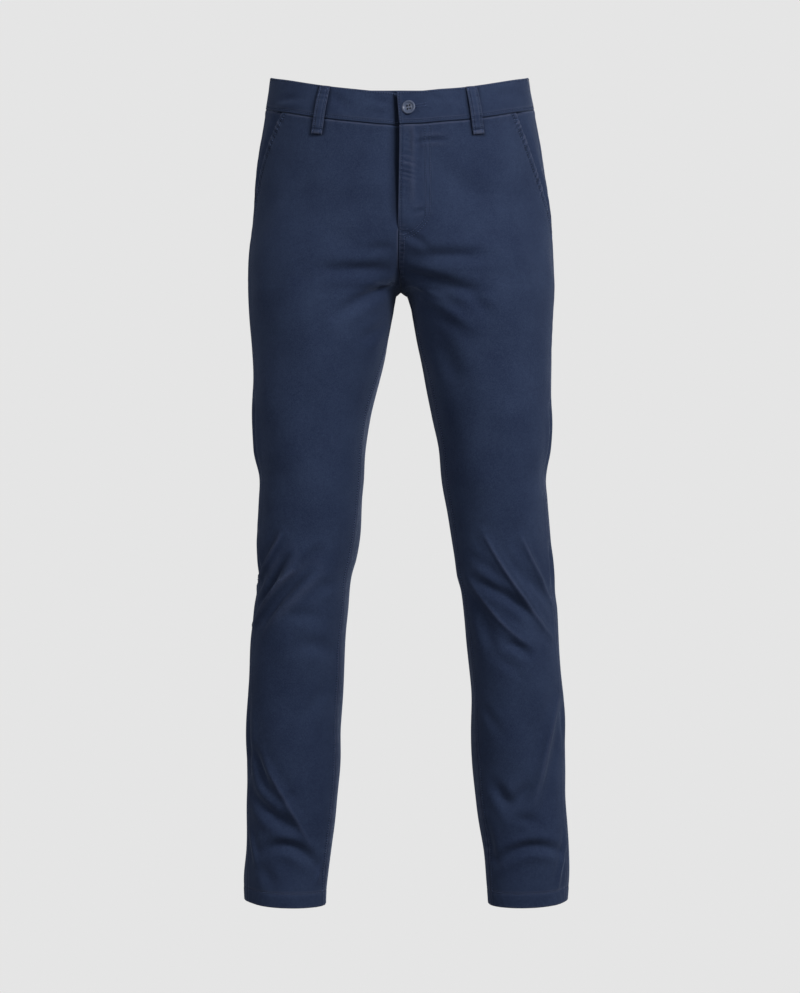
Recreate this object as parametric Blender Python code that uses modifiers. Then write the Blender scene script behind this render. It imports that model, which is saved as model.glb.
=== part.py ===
"""Chino trousers, filled out as on a general figure, with nobody in them.

Sizes are in millimetres and angles in degrees, and a mesh is written in metres. +X is the wearer's
left, -Y the front and +Z up. The origin is the middle of the waist, where a wearer holds them up.

Each half of the trousers is one skin, a stack of ovals round its leg. Above the fork the ovals reach
past the centre seam, which cuts them off, so the cut is the crotch seam. A point of the skin is named
by its height and its turn: 0 at the outer side, -90 at the front, 90 at the back, 180 at the inseam.
Every panel is a wall whose points are read from that skin, so that neighbours meet along their seams.
"""

from typing import NamedTuple

import bmesh
import bpy
import numpy as np
from mathutils import Matrix, Vector

MM = 0.001
RIGHT, LEFT = -1, 1
FRONT, BACK, OUTER = "front", "back", "outer"

# Cloth
CLOTH = 1.6
HEM_CLOTH = 2.6
HEM_DEPTH = 18
BAND_PROUD = 1.0
BAND_SUNK = 1.6
SEAM_GAP = 0.3
LAY_GAP = 0.35

# The oval of a section: 2 would be an ellipse, and more is squarer
SQUARENESS = 2.15
SEAM_X = 1.0

# Heights
BAND_HEIGHT = 40.5
SIDE_WAIST_SEAM = -9.3
FRONT_DIP = 34.7
FRONT_SAG = 3.5
BACK_RISE = 2.8
DIP_POWER = 0.92
DIP_SOFTNESS = 0.06
FORK = -241
SIDE_OF_FORK_ROW = -214
HEM = -1013
OUTER_HEM_RISE = 2
INNER_HEM_DROP = 4
INNER_HEM_RUN = 90
FORK_ROW_RUN = 155

# Grid
CROTCH_ROWS = 13
FRONT_COLUMNS = 13
BACK_COLUMNS = 14
BAND_COLUMNS = 26

# Fly: the left front laps over the right one
FLY_LAP = 2.5
FLY_LIFT = 3.0
FLY_WIDTH = 38
FLY_END = -174
SHIELD_CLOTH = 1.6
SHIELD_GAP = 0.8
SHIELD_BELOW_FLY = 14

# Facings of the slant pockets
FACING_CLOTH = 1.2
FACING_UNDER_COLUMNS = 2
FACING_COLUMNS = 3
FACING_BELOW_MOUTH = 12
FACING_RISE_RUN = 20

# Waistband ends: the left one laps over the right one, lifted as far as the right one reaches
BAND_ROWS = 3
BAND_LAP = 3.5
BAND_UNDER = 38
BAND_UNDER_COLUMNS = 3
BAND_LIFT = 3.2
BAND_LIFT_HOLD = 44
BAND_LIFT_RUN = 38
BAND_LIFT_DROP = 60
BAND_FRONT_Z = -20

# Belt loops
LOOP_WIDTH = 14.4
LOOP_CLOTH = 1.6
LOOP_GAP = 0.6
LOOP_BULGE = 2.0
LOOP_BELOW_SEAM = 19
LOOP_ROWS = 8

# Waist button
BUTTON_X = 10.7
BUTTON_Z = -25.5
BUTTON_HOLE_RADIUS = 0.95
BUTTON_HOLE_SPACING = 2.2
BUTTON_STEPS = 28
BUTTON_HOLE_SIDES = 10
BUTTON_CUT_DEPTH = 12
BUTTON_OFF_BAND = 0.6


class Section(NamedTuple):
    """One height: how far each half reaches sideways from the centre seam, and its depth."""

    z: float
    outer_right: float
    outer_left: float
    inner_right: float
    inner_left: float
    past_seam: float  # the share of the outer reach by which the oval passes the centre seam
    front: float
    back: float
    middle: float  # where, from front to back, the oval is widest


class Mouth(NamedTuple):
    """The edge of a slant pocket: how far before the outseam it starts, and where it reaches it."""

    top: float
    end: float
    curve: float  # 1 would be straight on the flat cut


MOUTHS = {RIGHT: Mouth(52, -152, 0.85), LEFT: Mouth(55, -175, 1.15)}

SECTIONS = (
    Section(-1030, 198.0, 213.8, 95.0, 113.0, 0, -52, 55, 1),
    Section(-1013, 198.0, 213.6, 94.0, 112.0, 0, -52, 55, 1),
    Section(-985, 198.5, 213.5, 91.5, 109.0, 0, -52, 56, 1),
    Section(-949, 197.3, 212.2, 88.9, 105.3, 0, -53, 58, 1),
    Section(-885, 198.0, 210.5, 82.2, 96.5, 0, -56, 62, 2),
    Section(-822, 196.6, 208.8, 77.3, 91.3, 0, -60, 66, 2),
    Section(-758, 193.7, 204.7, 74.5, 86.9, 0, -65, 66, 1),
    Section(-695, 192.1, 202.3, 72.1, 83.1, 0, -70, 61, 0),
    Section(-644, 188.2, 198.0, 67.8, 79.4, 0, -74, 57, -1),
    Section(-619, 183.8, 194.8, 65.7, 76.5, 0, -76, 56, -2),
    Section(-600, 180.0, 194.3, 63.0, 71.5, 0, -77, 56, -3),
    Section(-581, 181.3, 193.4, 58.2, 68.5, 0, -78, 57, -3),
    Section(-555, 182.9, 190.8, 54.6, 64.2, 0, -80, 60, -3),
    Section(-504, 179.9, 187.7, 49.0, 57.0, 0, -85, 67, -3),
    Section(-479, 178.2, 185.2, 45.3, 53.8, 0, -88, 70, -3),
    Section(-441, 184.7, 189.6, 42.3, 49.5, 0, -92, 75, -3),
    Section(-403, 185.9, 191.3, 36.7, 41.5, 0, -96, 81, -3),
    Section(-352, 187.6, 190.9, 26.4, 31.0, 0, -101, 90, -3),
    Section(-314, 189.1, 192.3, 16.7, 21.5, 0, -104, 98, -4),
    Section(-276, 190.6, 194.2, 9.1, 14.4, 0, -107, 109, -7),
    Section(-250, 190.5, 194.0, 5.6, 8.4, 0, -109, 118, -11),
    Section(-243, 190.8, 194.3, 3.6, 4.4, 0, -110, 121, -12),
    Section(FORK, 191.0, 194.4, 0, 0, 0, -110, 122, -12),
    Section(-239, 191.1, 194.5, 0, 0, 0.010, -110, 123, -12),
    Section(-235, 191.3, 194.6, 0, 0, 0.028, -111, 125, -11),
    Section(-225, 191.9, 194.3, 0, 0, 0.095, -112, 127, -9),
    Section(-200, 191.5, 193.4, 0, 0, 0.30, -114, 132, -4),
    Section(-174, 190.9, 192.3, 0, 0, 0.58, -116, 135, 0),
    Section(-149, 190.2, 190.8, 0, 0, 0.86, -117, 136, 2),
    Section(-123, 187.4, 187.2, 0, 0, 1, -117, 134, 3),
    Section(-98, 184.0, 184.2, 0, 0, 1, -116, 129, 3),
    Section(-60, 178.6, 178.2, 0, 0, 1, -114, 121, 2),
    Section(-35, 174.4, 173.2, 0, 0, 1, -112, 117, 2),
    Section(-9, 170.3, 168.2, 0, 0, 1, -109, 113, 2),
    Section(14, 166.5, 163.4, 0, 0, 1, -106, 110, 2),
    Section(45, 163.5, 160.0, 0, 0, 1, -102, 107, 2),
)


class SeamTurn(NamedTuple):
    """How far the seams lie forwards of the leg's outer and inner side."""

    z: float
    outseam: float
    inseam: float


SEAM_TURNS = (
    SeamTurn(-1030, 24, 27),
    SeamTurn(-800, 24, 26),
    SeamTurn(-600, 23, 24),
    SeamTurn(-380, 22, 22),
    SeamTurn(-300, 16, 14),
    SeamTurn(-250, 12, 3),
    SeamTurn(FORK, 11, 0),
    SeamTurn(-145, 7, 0),
    SeamTurn(45, 6, 0),
)


class RowStep(NamedTuple):
    """How far apart the rows lie at a height of the outseam."""

    z: float
    step: float


ROW_STEPS = (
    RowStep(-1013, 18),
    RowStep(-975, 15),
    RowStep(-955, 12),
    RowStep(-860, 13),
    RowStep(-830, 24),
    RowStep(-730, 28),
    RowStep(-690, 15),
    RowStep(-560, 14),
    RowStep(-520, 26),
    RowStep(-400, 30),
    RowStep(-320, 20),
    RowStep(-290, 13),
    RowStep(-200, 12),
)


class Fold(NamedTuple):
    """A soft trough (depth below 0) or ridge, between two points of one face of one half.

    across is x on the front and the back, and y on the outer side. bow lifts its middle.
    """

    half: int
    face: str
    across: float
    z: float
    across_end: float
    z_end: float
    bow: float
    width: float
    depth: float


FOLDS = (
    # Drag lines from the crotch, on the front
    Fold(RIGHT, FRONT, -14, -221, -96, -224, 0, 8, -4.2),
    Fold(RIGHT, FRONT, -10, -240, -78, -279, 4, 8, -4.4),
    Fold(RIGHT, FRONT, -20, -290, -50, -306, 0, 8, -2.0),
    Fold(RIGHT, FRONT, -52, -183, -90, -184, 0, 13, -1.6),
    Fold(LEFT, FRONT, 20, -206, 109, -205, 0, 8, -4.2),
    Fold(LEFT, FRONT, 12, -224, 106, -249, -4, 8, -4.6),
    Fold(LEFT, FRONT, 82, -252, 109, -277, 2, 8, -2.8),
    Fold(LEFT, FRONT, 30, -252, 90, -293, 2, 8, 3.4),
    Fold(LEFT, FRONT, 49, -308, 72, -360, 0, 14, -3.0),
    Fold(LEFT, FRONT, 52, -108, 112, -142, 4, 13, -1.8),
    # The outseam pulled in, so that the back stands past it
    Fold(RIGHT, OUTER, -38, -375, -32, -472, 0, 7, -4.6),
    Fold(RIGHT, OUTER, -30, -545, -24, -604, 0, 7, -4.0),
    Fold(RIGHT, OUTER, -26, -752, -24, -850, 0, 7, -3.6),
    Fold(LEFT, OUTER, -38, -385, -32, -466, 0, 7, -4.6),
    Fold(LEFT, OUTER, -30, -560, -26, -618, 0, 7, -3.6),
    Fold(LEFT, OUTER, -24, -760, -22, -812, 0, 7, -3.2),
    # Knees, on the front
    Fold(RIGHT, FRONT, -153, -538, -176, -608, 0, 8, 3.6),
    Fold(RIGHT, FRONT, -143, -597, -180, -655, 3, 8, 3.8),
    Fold(RIGHT, FRONT, -152, -585, -172, -622, 0, 8, -3.0),
    Fold(RIGHT, FRONT, -101, -580, -162, -655, 4, 10, -3.6),
    Fold(RIGHT, FRONT, -82, -610, -100, -612, 0, 8, -1.8),
    Fold(RIGHT, FRONT, -100, -650, -142, -651, 4, 8, -1.8),
    Fold(RIGHT, FRONT, -82, -698, -126, -688, 8, 10, -2.4),
    Fold(LEFT, FRONT, 153, -555, 186, -632, 2, 8, 4.2),
    Fold(LEFT, FRONT, 106, -572, 186, -664, 0, 8, 4.4),
    Fold(LEFT, FRONT, 92, -608, 166, -682, 0, 9, 3.4),
    Fold(LEFT, FRONT, 103, -606, 180, -664, -2, 8, -4.8),
    Fold(LEFT, FRONT, 154, -600, 177, -617, 0, 8, -3.0),
    Fold(LEFT, FRONT, 135, -684, 158, -696, 2, 8, -3.2),
    Fold(LEFT, FRONT, 94, -655, 107, -690, 0, 10, -3.0),
    # Calves and ankles, on the front
    Fold(RIGHT, FRONT, -182, -815, -165, -866, 0, 8, -3.4),
    Fold(RIGHT, FRONT, -183, -876, -137, -911, -3, 8, -5.2),
    Fold(RIGHT, FRONT, -159, -863, -122, -921, 0, 8, 2.6),
    Fold(RIGHT, FRONT, -170, -933, -102, -952, 9, 8, -6.0),
    Fold(LEFT, FRONT, 196, -754, 166, -888, -5, 8, 4.2),
    Fold(LEFT, FRONT, 118, -854, 137, -887, 0, 8, -3.2),
    Fold(LEFT, FRONT, 137, -887, 162, -855, 0, 8, -3.0),
    Fold(LEFT, FRONT, 127, -949, 200, -935, 10, 8, -6.0),
    Fold(LEFT, FRONT, 110, -916, 118, -962, 0, 8, -2.4),
    # Drag lines under the seat
    Fold(RIGHT, BACK, -14, -226, -98, -246, -5, 13, -4.2),
    Fold(RIGHT, BACK, -20, -268, -112, -304, -6, 12, -3.4),
    Fold(RIGHT, BACK, -24, -184, -96, -172, 5, 15, -1.6),
    Fold(LEFT, BACK, 14, -222, 106, -240, -6, 13, -4.4),
    Fold(LEFT, BACK, 26, -272, 118, -314, -6, 12, -3.2),
    Fold(LEFT, BACK, 30, -186, 92, -170, 4, 15, -1.5),
    # Backs of the knees
    Fold(RIGHT, BACK, -72, -566, -164, -548, -5, 8, -4.4),
    Fold(RIGHT, BACK, -74, -602, -170, -612, -4, 8, -5.2),
    Fold(RIGHT, BACK, -84, -648, -160, -636, 4, 9, -3.4),
    Fold(LEFT, BACK, 78, -560, 176, -572, -4, 8, -4.6),
    Fold(LEFT, BACK, 86, -606, 182, -596, -5, 8, -5.0),
    Fold(LEFT, BACK, 90, -642, 164, -660, 3, 9, -3.4),
    # Calves and ankles, on the back
    Fold(RIGHT, BACK, -178, -770, -142, -862, 0, 10, 3.2),
    Fold(RIGHT, BACK, -182, -898, -108, -918, -6, 8, -5.2),
    Fold(RIGHT, BACK, -98, -946, -168, -962, 5, 8, -4.2),
    Fold(LEFT, BACK, 184, -782, 140, -858, 0, 10, 3.0),
    Fold(LEFT, BACK, 198, -906, 124, -928, -6, 8, -5.4),
    Fold(LEFT, BACK, 112, -944, 186, -966, 5, 8, -3.8),
)
FOLD_POINTS = 9
SHOULDER_SHARE = 0.4
SHOULDER_PLACE = 1.75
SEAM_STILL = 12


class BeltLoop(NamedTuple):
    """A belt loop, by the place of its middle at the band's top and at its own foot."""

    name: str
    half: int
    face: str
    x_top: float
    x_foot: float


BELT_LOOPS = (
    BeltLoop("belt_loop_front_right", RIGHT, FRONT, -90, -101),
    BeltLoop("belt_loop_front_left", LEFT, FRONT, 87, 95),
    BeltLoop("belt_loop_back_right", RIGHT, BACK, -112, -116),
    BeltLoop("belt_loop_back_left", LEFT, BACK, 110, 114),
    BeltLoop("belt_loop_centre_back", RIGHT, BACK, 1, 1),
)


class Finish(NamedTuple):
    """A plain finish: linear colour, roughness and metallic value."""

    colour: tuple
    roughness: float
    metallic: float = 0.0


TWILL = Finish((0.020, 0.030, 0.062), 0.9)
BUTTON = Finish((0.030, 0.036, 0.055), 0.35)


def ease(share):
    """A share held between 0 and 1, with soft ends."""
    share = np.clip(share, 0, 1)
    return share * share * (3 - 2 * share)


def along_table(rows, column, z):
    """A column's value at height z, on a smooth curve that never overshoots its rows."""
    heights = np.array([row.z for row in rows], float)
    values = np.array([getattr(row, column) for row in rows], float)
    steps = np.diff(heights)
    slopes = np.diff(values) / steps
    tangents = np.zeros_like(values)
    level = slopes[:-1] * slopes[1:] > 0
    before = (2 * steps[1:] + steps[:-1])[level]
    after = (steps[1:] + 2 * steps[:-1])[level]
    blend = before / slopes[:-1][level] + after / slopes[1:][level]
    tangents[1:-1][level] = (before + after) / blend
    tangents[0], tangents[-1] = slopes[0], slopes[-1]
    z = np.clip(np.asarray(z, float), heights[0], heights[-1])
    row = np.clip(np.searchsorted(heights, z) - 1, 0, len(steps) - 1)
    share = (z - heights[row]) / steps[row]
    rest = 1 - share
    return (
        values[row] * (1 + 2 * share) * rest**2
        + tangents[row] * steps[row] * share * rest**2
        + values[row + 1] * (3 - 2 * share) * share**2
        - tangents[row + 1] * steps[row] * rest * share**2
    )


def oval(half, z):
    """The middle, half width, widest place, front depth and back depth of a half's oval."""
    name = "right" if half == RIGHT else "left"
    outer = along_table(SECTIONS, "outer_" + name, z)
    inner = along_table(SECTIONS, "inner_" + name, z)
    inner = inner - along_table(SECTIONS, "past_seam", z) * outer
    middle = along_table(SECTIONS, "middle", z)
    front = middle - along_table(SECTIONS, "front", z)
    back = along_table(SECTIONS, "back", z) - middle
    return (outer + inner) / 2, (outer - inner) / 2, middle, front, back


def smooth_skin(half, turn, z):
    """Points of a half's skin before it is folded."""
    centre, width, middle, front, back = oval(half, z)
    sideways = np.cos(np.radians(turn))
    backwards = np.sin(np.radians(turn))
    power = 2 / SQUARENESS
    x = centre + width * np.sign(sideways) * np.abs(sideways) ** power
    depth = np.where(backwards < 0, front, back)
    y = middle + depth * np.sign(backwards) * np.abs(backwards) ** power
    return np.stack(np.broadcast_arrays(SEAM_X + half * x, y, z), -1)


def facing_out(skin, half, turn, z):
    """The outward direction of a skin, from its slopes round and up."""
    round_step, up_step = 0.25, 0.5
    around = skin(half, turn + round_step, z) - skin(half, turn - round_step, z)
    upwards = skin(half, turn, z + up_step) - skin(half, turn, z - up_step)
    out = half * np.cross(around, upwards)
    return out / np.linalg.norm(out, axis=-1, keepdims=True)


def turn_at(half, face, across, z):
    """The turn of the point of a face at a given x, or at a given y on the outer side."""
    centre, width, middle, front, back = oval(half, z)
    power = SQUARENESS / 2
    if face == OUTER:
        share = np.clip((across - middle) / np.where(across < middle, front, back), -1, 1)
        return np.degrees(np.arcsin(np.sign(share) * np.abs(share) ** power))
    share = np.clip((half * (across - SEAM_X) - centre) / width, -1, 1)
    turn = np.degrees(np.arccos(np.sign(share) * np.abs(share) ** power))
    return -turn if face == FRONT else turn


def fold_line(fold):
    """Points on the smooth skin along a fold, and the share of the way that each has come."""
    share = np.linspace(0, 1, FOLD_POINTS)
    across = fold.across + (fold.across_end - fold.across) * share
    bow = fold.bow * 4 * share * (1 - share)
    z = fold.z + (fold.z_end - fold.z) * share + bow
    turn = turn_at(fold.half, fold.face, across, z)
    return smooth_skin(fold.half, turn, z)


FOLD_LINES = [(fold, fold_line(fold)) for fold in FOLDS]


def relief(half, points):
    """How far the folds push each point out."""
    total = np.zeros(points.shape[:-1])
    for fold, line in FOLD_LINES:
        if fold.half != half:
            continue
        nearest = np.full(total.shape, np.inf)
        place = np.zeros(total.shape)
        for step, (start, end) in enumerate(zip(line, line[1:])):
            run = end - start
            share = np.clip((points - start) @ run / (run @ run), 0, 1)
            gap = np.linalg.norm(points - start - share[..., None] * run, axis=-1)
            closer = gap < nearest
            nearest = np.where(closer, gap, nearest)
            place = np.where(closer, (step + share) / (FOLD_POINTS - 1), place)
        reach = nearest / fold.width
        shoulder = SHOULDER_SHARE * np.exp(-((reach - SHOULDER_PLACE) ** 2))
        fade = 0.4 + 0.6 * np.sin(np.pi * place)
        total += fold.depth * fade * (np.exp(-(reach**2)) - shoulder)
    above_fork = ease((points[..., 2] - FORK) / SEAM_STILL)
    still = ease(np.abs(points[..., 0] - SEAM_X) / SEAM_STILL)
    return total * (1 - above_fork * (1 - still))


def skin(half, turn, z):
    """Points of a half's folded skin."""
    points = smooth_skin(half, turn, z)
    out = facing_out(smooth_skin, half, turn, z)
    return points + out * relief(half, points)[..., None]


def waist_seam(turn):
    """Height of the seam under the waistband, which dips and sags at the front."""
    round_share = np.clip(np.abs(turn) / 90, 0, 1)
    share = round_share**DIP_POWER
    slant = np.hypot(share, DIP_SOFTNESS) - DIP_SOFTNESS
    slant /= np.hypot(1, DIP_SOFTNESS) - DIP_SOFTNESS
    sag = FRONT_SAG * ease((round_share - 0.3) / 0.45) * (1 - ease((round_share - 0.9) / 0.1) / 2)
    front = -FRONT_DIP * slant - sag
    return SIDE_WAIST_SEAM + np.where(np.less(turn, 0), front, BACK_RISE * slant)


def outseam_turn(z):
    """Turn of the outseam."""
    return -along_table(SEAM_TURNS, "outseam", z)


def centre_turn(sign, z):
    """Turn of the centre seam above the fork and of the inseam below it; sign is -1 in front."""
    past = np.clip(along_table(SECTIONS, "past_seam", z), 0, 1)
    share = (1 - past) / (1 + past)
    cut = np.degrees(np.arccos(-(share ** (SQUARENESS / 2))))
    inseam = 180 + sign * along_table(SEAM_TURNS, "inseam", z)
    return sign * np.where(np.asarray(z) > FORK, cut, inseam)


def mouth_turn(half):
    """A function of the height: the turn of the slant pocket's edge, and of the outseam below it."""
    mouth = MOUTHS[half]

    def turn(z):
        share = np.clip((SIDE_WAIST_SEAM - z) / (SIDE_WAIST_SEAM - mouth.end), 0, 1)
        forwards = mouth.top * (1 - share**mouth.curve)
        return outseam_turn(z) - np.degrees(forwards / oval(RIGHT, z)[3])

    return turn


def crotch_heights(sign):
    """Heights on the centre seam from the waist seam to the fork, evenly spaced along the seam."""
    top = waist_seam(sign * 90)
    z = FORK + (top - FORK) * np.linspace(1, 0, 400) ** 2
    seam = smooth_skin(RIGHT, centre_turn(sign, z), z)
    length = np.concatenate(([0], np.cumsum(np.linalg.norm(np.diff(seam, axis=0), axis=1))))
    places = np.linspace(0, length[-1], CROTCH_ROWS + 1)
    return np.interp(places, length, z)


def outseam_heights():
    """Heights on the outseam: even rows down to the fork's row, then rows by the steps table."""
    upper = np.linspace(waist_seam(outseam_turn(0)), SIDE_OF_FORK_ROW, CROTCH_ROWS + 1)
    z = np.linspace(SIDE_OF_FORK_ROW, HEM, 2000)
    rows = np.cumsum(1 / along_table(ROW_STEPS, "step", z))
    rows = (rows - rows[0]) / (rows[-1] - rows[0])
    count = round(float(np.sum((z[0] - z[1]) / along_table(ROW_STEPS, "step", z))))
    lower = np.interp(np.linspace(0, 1, count + 1), rows, z)
    lower[-1] += OUTER_HEM_RISE
    lower[-2] = lower[-1] + HEM_DEPTH
    return np.concatenate((upper, lower[1:]))


def row_ends(sign):
    """Heights of every row at the centre seam or inseam, and at the outseam."""
    outer = outseam_heights()
    upper = crotch_heights(sign)
    below = outer[CROTCH_ROWS + 1 :]
    level = ease((SIDE_OF_FORK_ROW - below) / FORK_ROW_RUN)
    drop = (SIDE_OF_FORK_ROW - FORK) * (1 - level)
    drop += INNER_HEM_DROP * ease((HEM + INNER_HEM_RUN - below) / INNER_HEM_RUN)
    return np.concatenate((upper, below - drop)), outer


def grid_heights(inner, outer, turn):
    """Heights of a row's points, flat near the centre, and along the waist seam at the top."""
    share = np.linspace(0, 1, turn.shape[1])[None] ** 2
    straight = inner[:, None] + (outer - inner)[:, None] * share
    bend = waist_seam(turn) - straight[:1]
    stay = 1 - ease(np.arange(len(inner)) / CROTCH_ROWS)
    return straight + stay[:, None] * bend


def panel_grid(sign, end_turn, columns):
    """Turns and heights of a panel's points, from the centre to the seam that end_turn gives."""
    inner, outer = row_ends(sign)
    start = centre_turn(sign, inner)
    start[CROTCH_ROWS] = sign * 180
    share = np.linspace(0, 1, columns + 1)[None]
    end = end_turn(outer)
    turn = start[:, None] + (end - start)[:, None] * share
    heights = grid_heights(inner, outer, turn)
    return turn, heights


def wall(name, outer, inner, finish):
    """One closed solid between two grids of points, rows by columns."""
    rows, columns = outer.shape[:2]
    points = np.concatenate((outer.reshape(-1, 3), inner.reshape(-1, 3))) * MM
    index = np.arange(rows * columns).reshape(rows, columns)
    corners = (index[:-1, :-1], index[1:, :-1], index[1:, 1:], index[:-1, 1:])
    halves = [np.stack([corners[i] for i in picked], -1) for picked in ((0, 1, 2), (0, 2, 3))]
    skin_faces = np.concatenate(halves).reshape(-1, 3)
    edge = np.concatenate((index[0, :-1], index[:-1, -1], index[-1, :0:-1], index[:0:-1, 0]))
    following = np.roll(edge, -1)
    under = rows * columns
    rim = np.stack((edge, following, following + under, edge + under), -1)
    faces = [*skin_faces.tolist(), *(skin_faces[:, ::-1] + under).tolist(), *rim.tolist()]
    mesh = bpy.data.meshes.new(name)
    mesh.from_pydata(points.tolist(), [], faces)
    body = bmesh.new()
    body.from_mesh(mesh)
    bmesh.ops.recalc_face_normals(body, faces=body.faces)
    body.to_mesh(mesh)
    body.free()
    mesh.shade_smooth()
    mesh.set_sharp_from_angle(angle=np.radians(50))
    return add_part(name, mesh, finish)


def add_part(name, mesh, finish):
    """A part with its own material, in the trousers' collection."""
    part = bpy.data.objects.new(name, mesh)
    material = bpy.data.materials.new(name)
    material.use_nodes = True
    shader = material.node_tree.nodes["Principled BSDF"]
    shader.inputs["Base Color"].default_value = (*finish.colour, 1)
    shader.inputs["Roughness"].default_value = finish.roughness
    shader.inputs["Metallic"].default_value = finish.metallic
    mesh.materials.append(material)
    bpy.data.collections["Chino trousers"].objects.link(part)
    part.parent = bpy.data.objects["waist"]
    return part


def pull_in(grid_pair, axis_end, amount):
    """Moves one edge column of both grids towards its neighbour, to leave the gap of a seam."""
    outer, inner = grid_pair
    edge, beside = (0, 1) if axis_end == 0 else (-1, -2)
    run = outer[:, beside] - outer[:, edge]
    run *= amount / np.linalg.norm(run, axis=-1, keepdims=True)
    outer[:, edge] += run
    inner[:, edge] += run


def part_at_centre(half, grid_pair):
    """Keeps a panel's upper edge half a gap off the centre seam's plane."""
    for grid in grid_pair:
        away = half * (grid[: CROTCH_ROWS + 1, 0, 0] - SEAM_X)
        grid[: CROTCH_ROWS + 1, 0, 0] = SEAM_X + half * np.maximum(away, SEAM_GAP / 2)


def lower_top(grid_pair):
    """Moves the top row of both grids down by half a gap."""
    for grid in grid_pair:
        grid[0, :, 2] -= SEAM_GAP / 2


def thickness(heights):
    """The wall, with the turned-up cloth of the hem inside."""
    hem = np.arange(len(heights)) >= len(heights) - 2
    return np.where(hem[:, None, None], HEM_CLOTH, CLOTH)


def panel(half, sign, end_turn, columns):
    """The outer and inner grids of one leg panel, before what is special to it."""
    turn, heights = panel_grid(sign, end_turn, columns)
    outer = skin(half, turn, heights)
    out = facing_out(skin, half, turn, heights)
    pair = [outer, outer - out * thickness(heights)]
    part_at_centre(half, pair)
    pull_in([grid[CROTCH_ROWS:] for grid in pair], 0, SEAM_GAP / 2)
    pull_in(pair, -1, SEAM_GAP / 2)
    lower_top(pair)
    return pair, out


def lap_fly(pair, out):
    """Lifts the left front's edge over the right front and carries it past the centre."""
    fly_rows = int(np.sum(pair[0][:, 0, 2] > FLY_END))
    x = pair[0][:fly_rows, :, 0]
    below_band = pair[0][:1, :, 2] - pair[0][:fly_rows, :, 2]
    with_fly = FLY_LIFT * (1 - ease((x - SEAM_X) / FLY_WIDTH))
    with_band = band_lift(x) * (1 - ease(below_band / BAND_LIFT_DROP))
    lift = np.maximum(with_fly, with_band)
    for grid in pair:
        grid[:fly_rows] += out[:fly_rows] * lift[..., None]
        grid[: fly_rows - 1, 0, 0] -= FLY_LAP


def front_panel(half, name):
    """A front: waist seam, centre front, inseam, hem, outseam and the slant pocket's edge."""
    pair, out = panel(half, -1, mouth_turn(half), FRONT_COLUMNS)
    if half == LEFT:
        lap_fly(pair, out)
    return wall(name, *pair, TWILL)


def back_panel(half, name):
    """A back: waist seam, centre back, seat, inseam, hem and outseam."""
    pair, _ = panel(half, 1, outseam_turn, BACK_COLUMNS)
    return wall(name, *pair, TWILL)


def pocket_facing(half, name):
    """The side piece: it shows outside the pocket's mouth and runs on under the front."""
    turn, heights = panel_grid(-1, mouth_turn(half), FRONT_COLUMNS)
    rows = int(np.sum(heights[:, -1] > MOUTHS[half].end - FACING_BELOW_MOUTH))
    under = slice(FRONT_COLUMNS - FACING_UNDER_COLUMNS, None)
    turn, heights = turn[:rows, under], heights[:rows, under]
    end = outseam_turn(heights[:, -1:])
    share = np.linspace(0, 1, FACING_COLUMNS + 1)[None, 1:]
    shown_turn = turn[:, -1:] + (end - turn[:, -1:]) * share
    shown_heights = np.repeat(heights[:, -1:], FACING_COLUMNS, axis=1)
    shown_heights[0] = waist_seam(shown_turn[0])
    all_turn = np.concatenate((turn, shown_turn), axis=1)
    all_heights = np.concatenate((heights, shown_heights), axis=1)
    points = skin(half, all_turn, all_heights)
    out = facing_out(skin, half, all_turn, all_heights)
    shown = np.linalg.norm(points - points[:, [FACING_UNDER_COLUMNS]], axis=-1)
    shown[:, : FACING_UNDER_COLUMNS + 1] = 0
    rise = ease(shown / FACING_RISE_RUN)
    sink = (CLOTH + LAY_GAP) * (1 - rise)
    outer = points - out * sink[..., None]
    pair = [outer, outer - out * FACING_CLOTH]
    pull_in(pair, -1, SEAM_GAP / 2)
    lower_top(pair)
    return wall(name, *pair, TWILL)


def fly_shield(name):
    """The strip behind the fly: from inside the right front to inside the left one."""
    turn, heights = panel_grid(-1, mouth_turn(RIGHT), FRONT_COLUMNS)
    rows = int(np.sum(heights[:, 0] > FLY_END - SHIELD_BELOW_FLY))
    right = slice(1, 0, -1)
    left = slice(0, 3)
    turn, heights = turn[:rows], heights[:rows]
    strips = [(RIGHT, turn[:, right], heights[:, right]), (LEFT, turn[:, left], heights[:, left])]
    points = np.concatenate([skin(*strip) for strip in strips], axis=1)
    out = np.concatenate([facing_out(skin, *strip) for strip in strips], axis=1)
    outer = points - out * (CLOTH + SHIELD_GAP)
    pair = [outer, outer - out * SHIELD_CLOTH]
    lower_top(pair)
    return wall(name, *pair, TWILL)


def band_lift(x):
    """How far the left half of the waistband stands off at x."""
    return BAND_LIFT * (1 - ease((x - SEAM_X - BAND_LIFT_HOLD) / BAND_LIFT_RUN))


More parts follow.
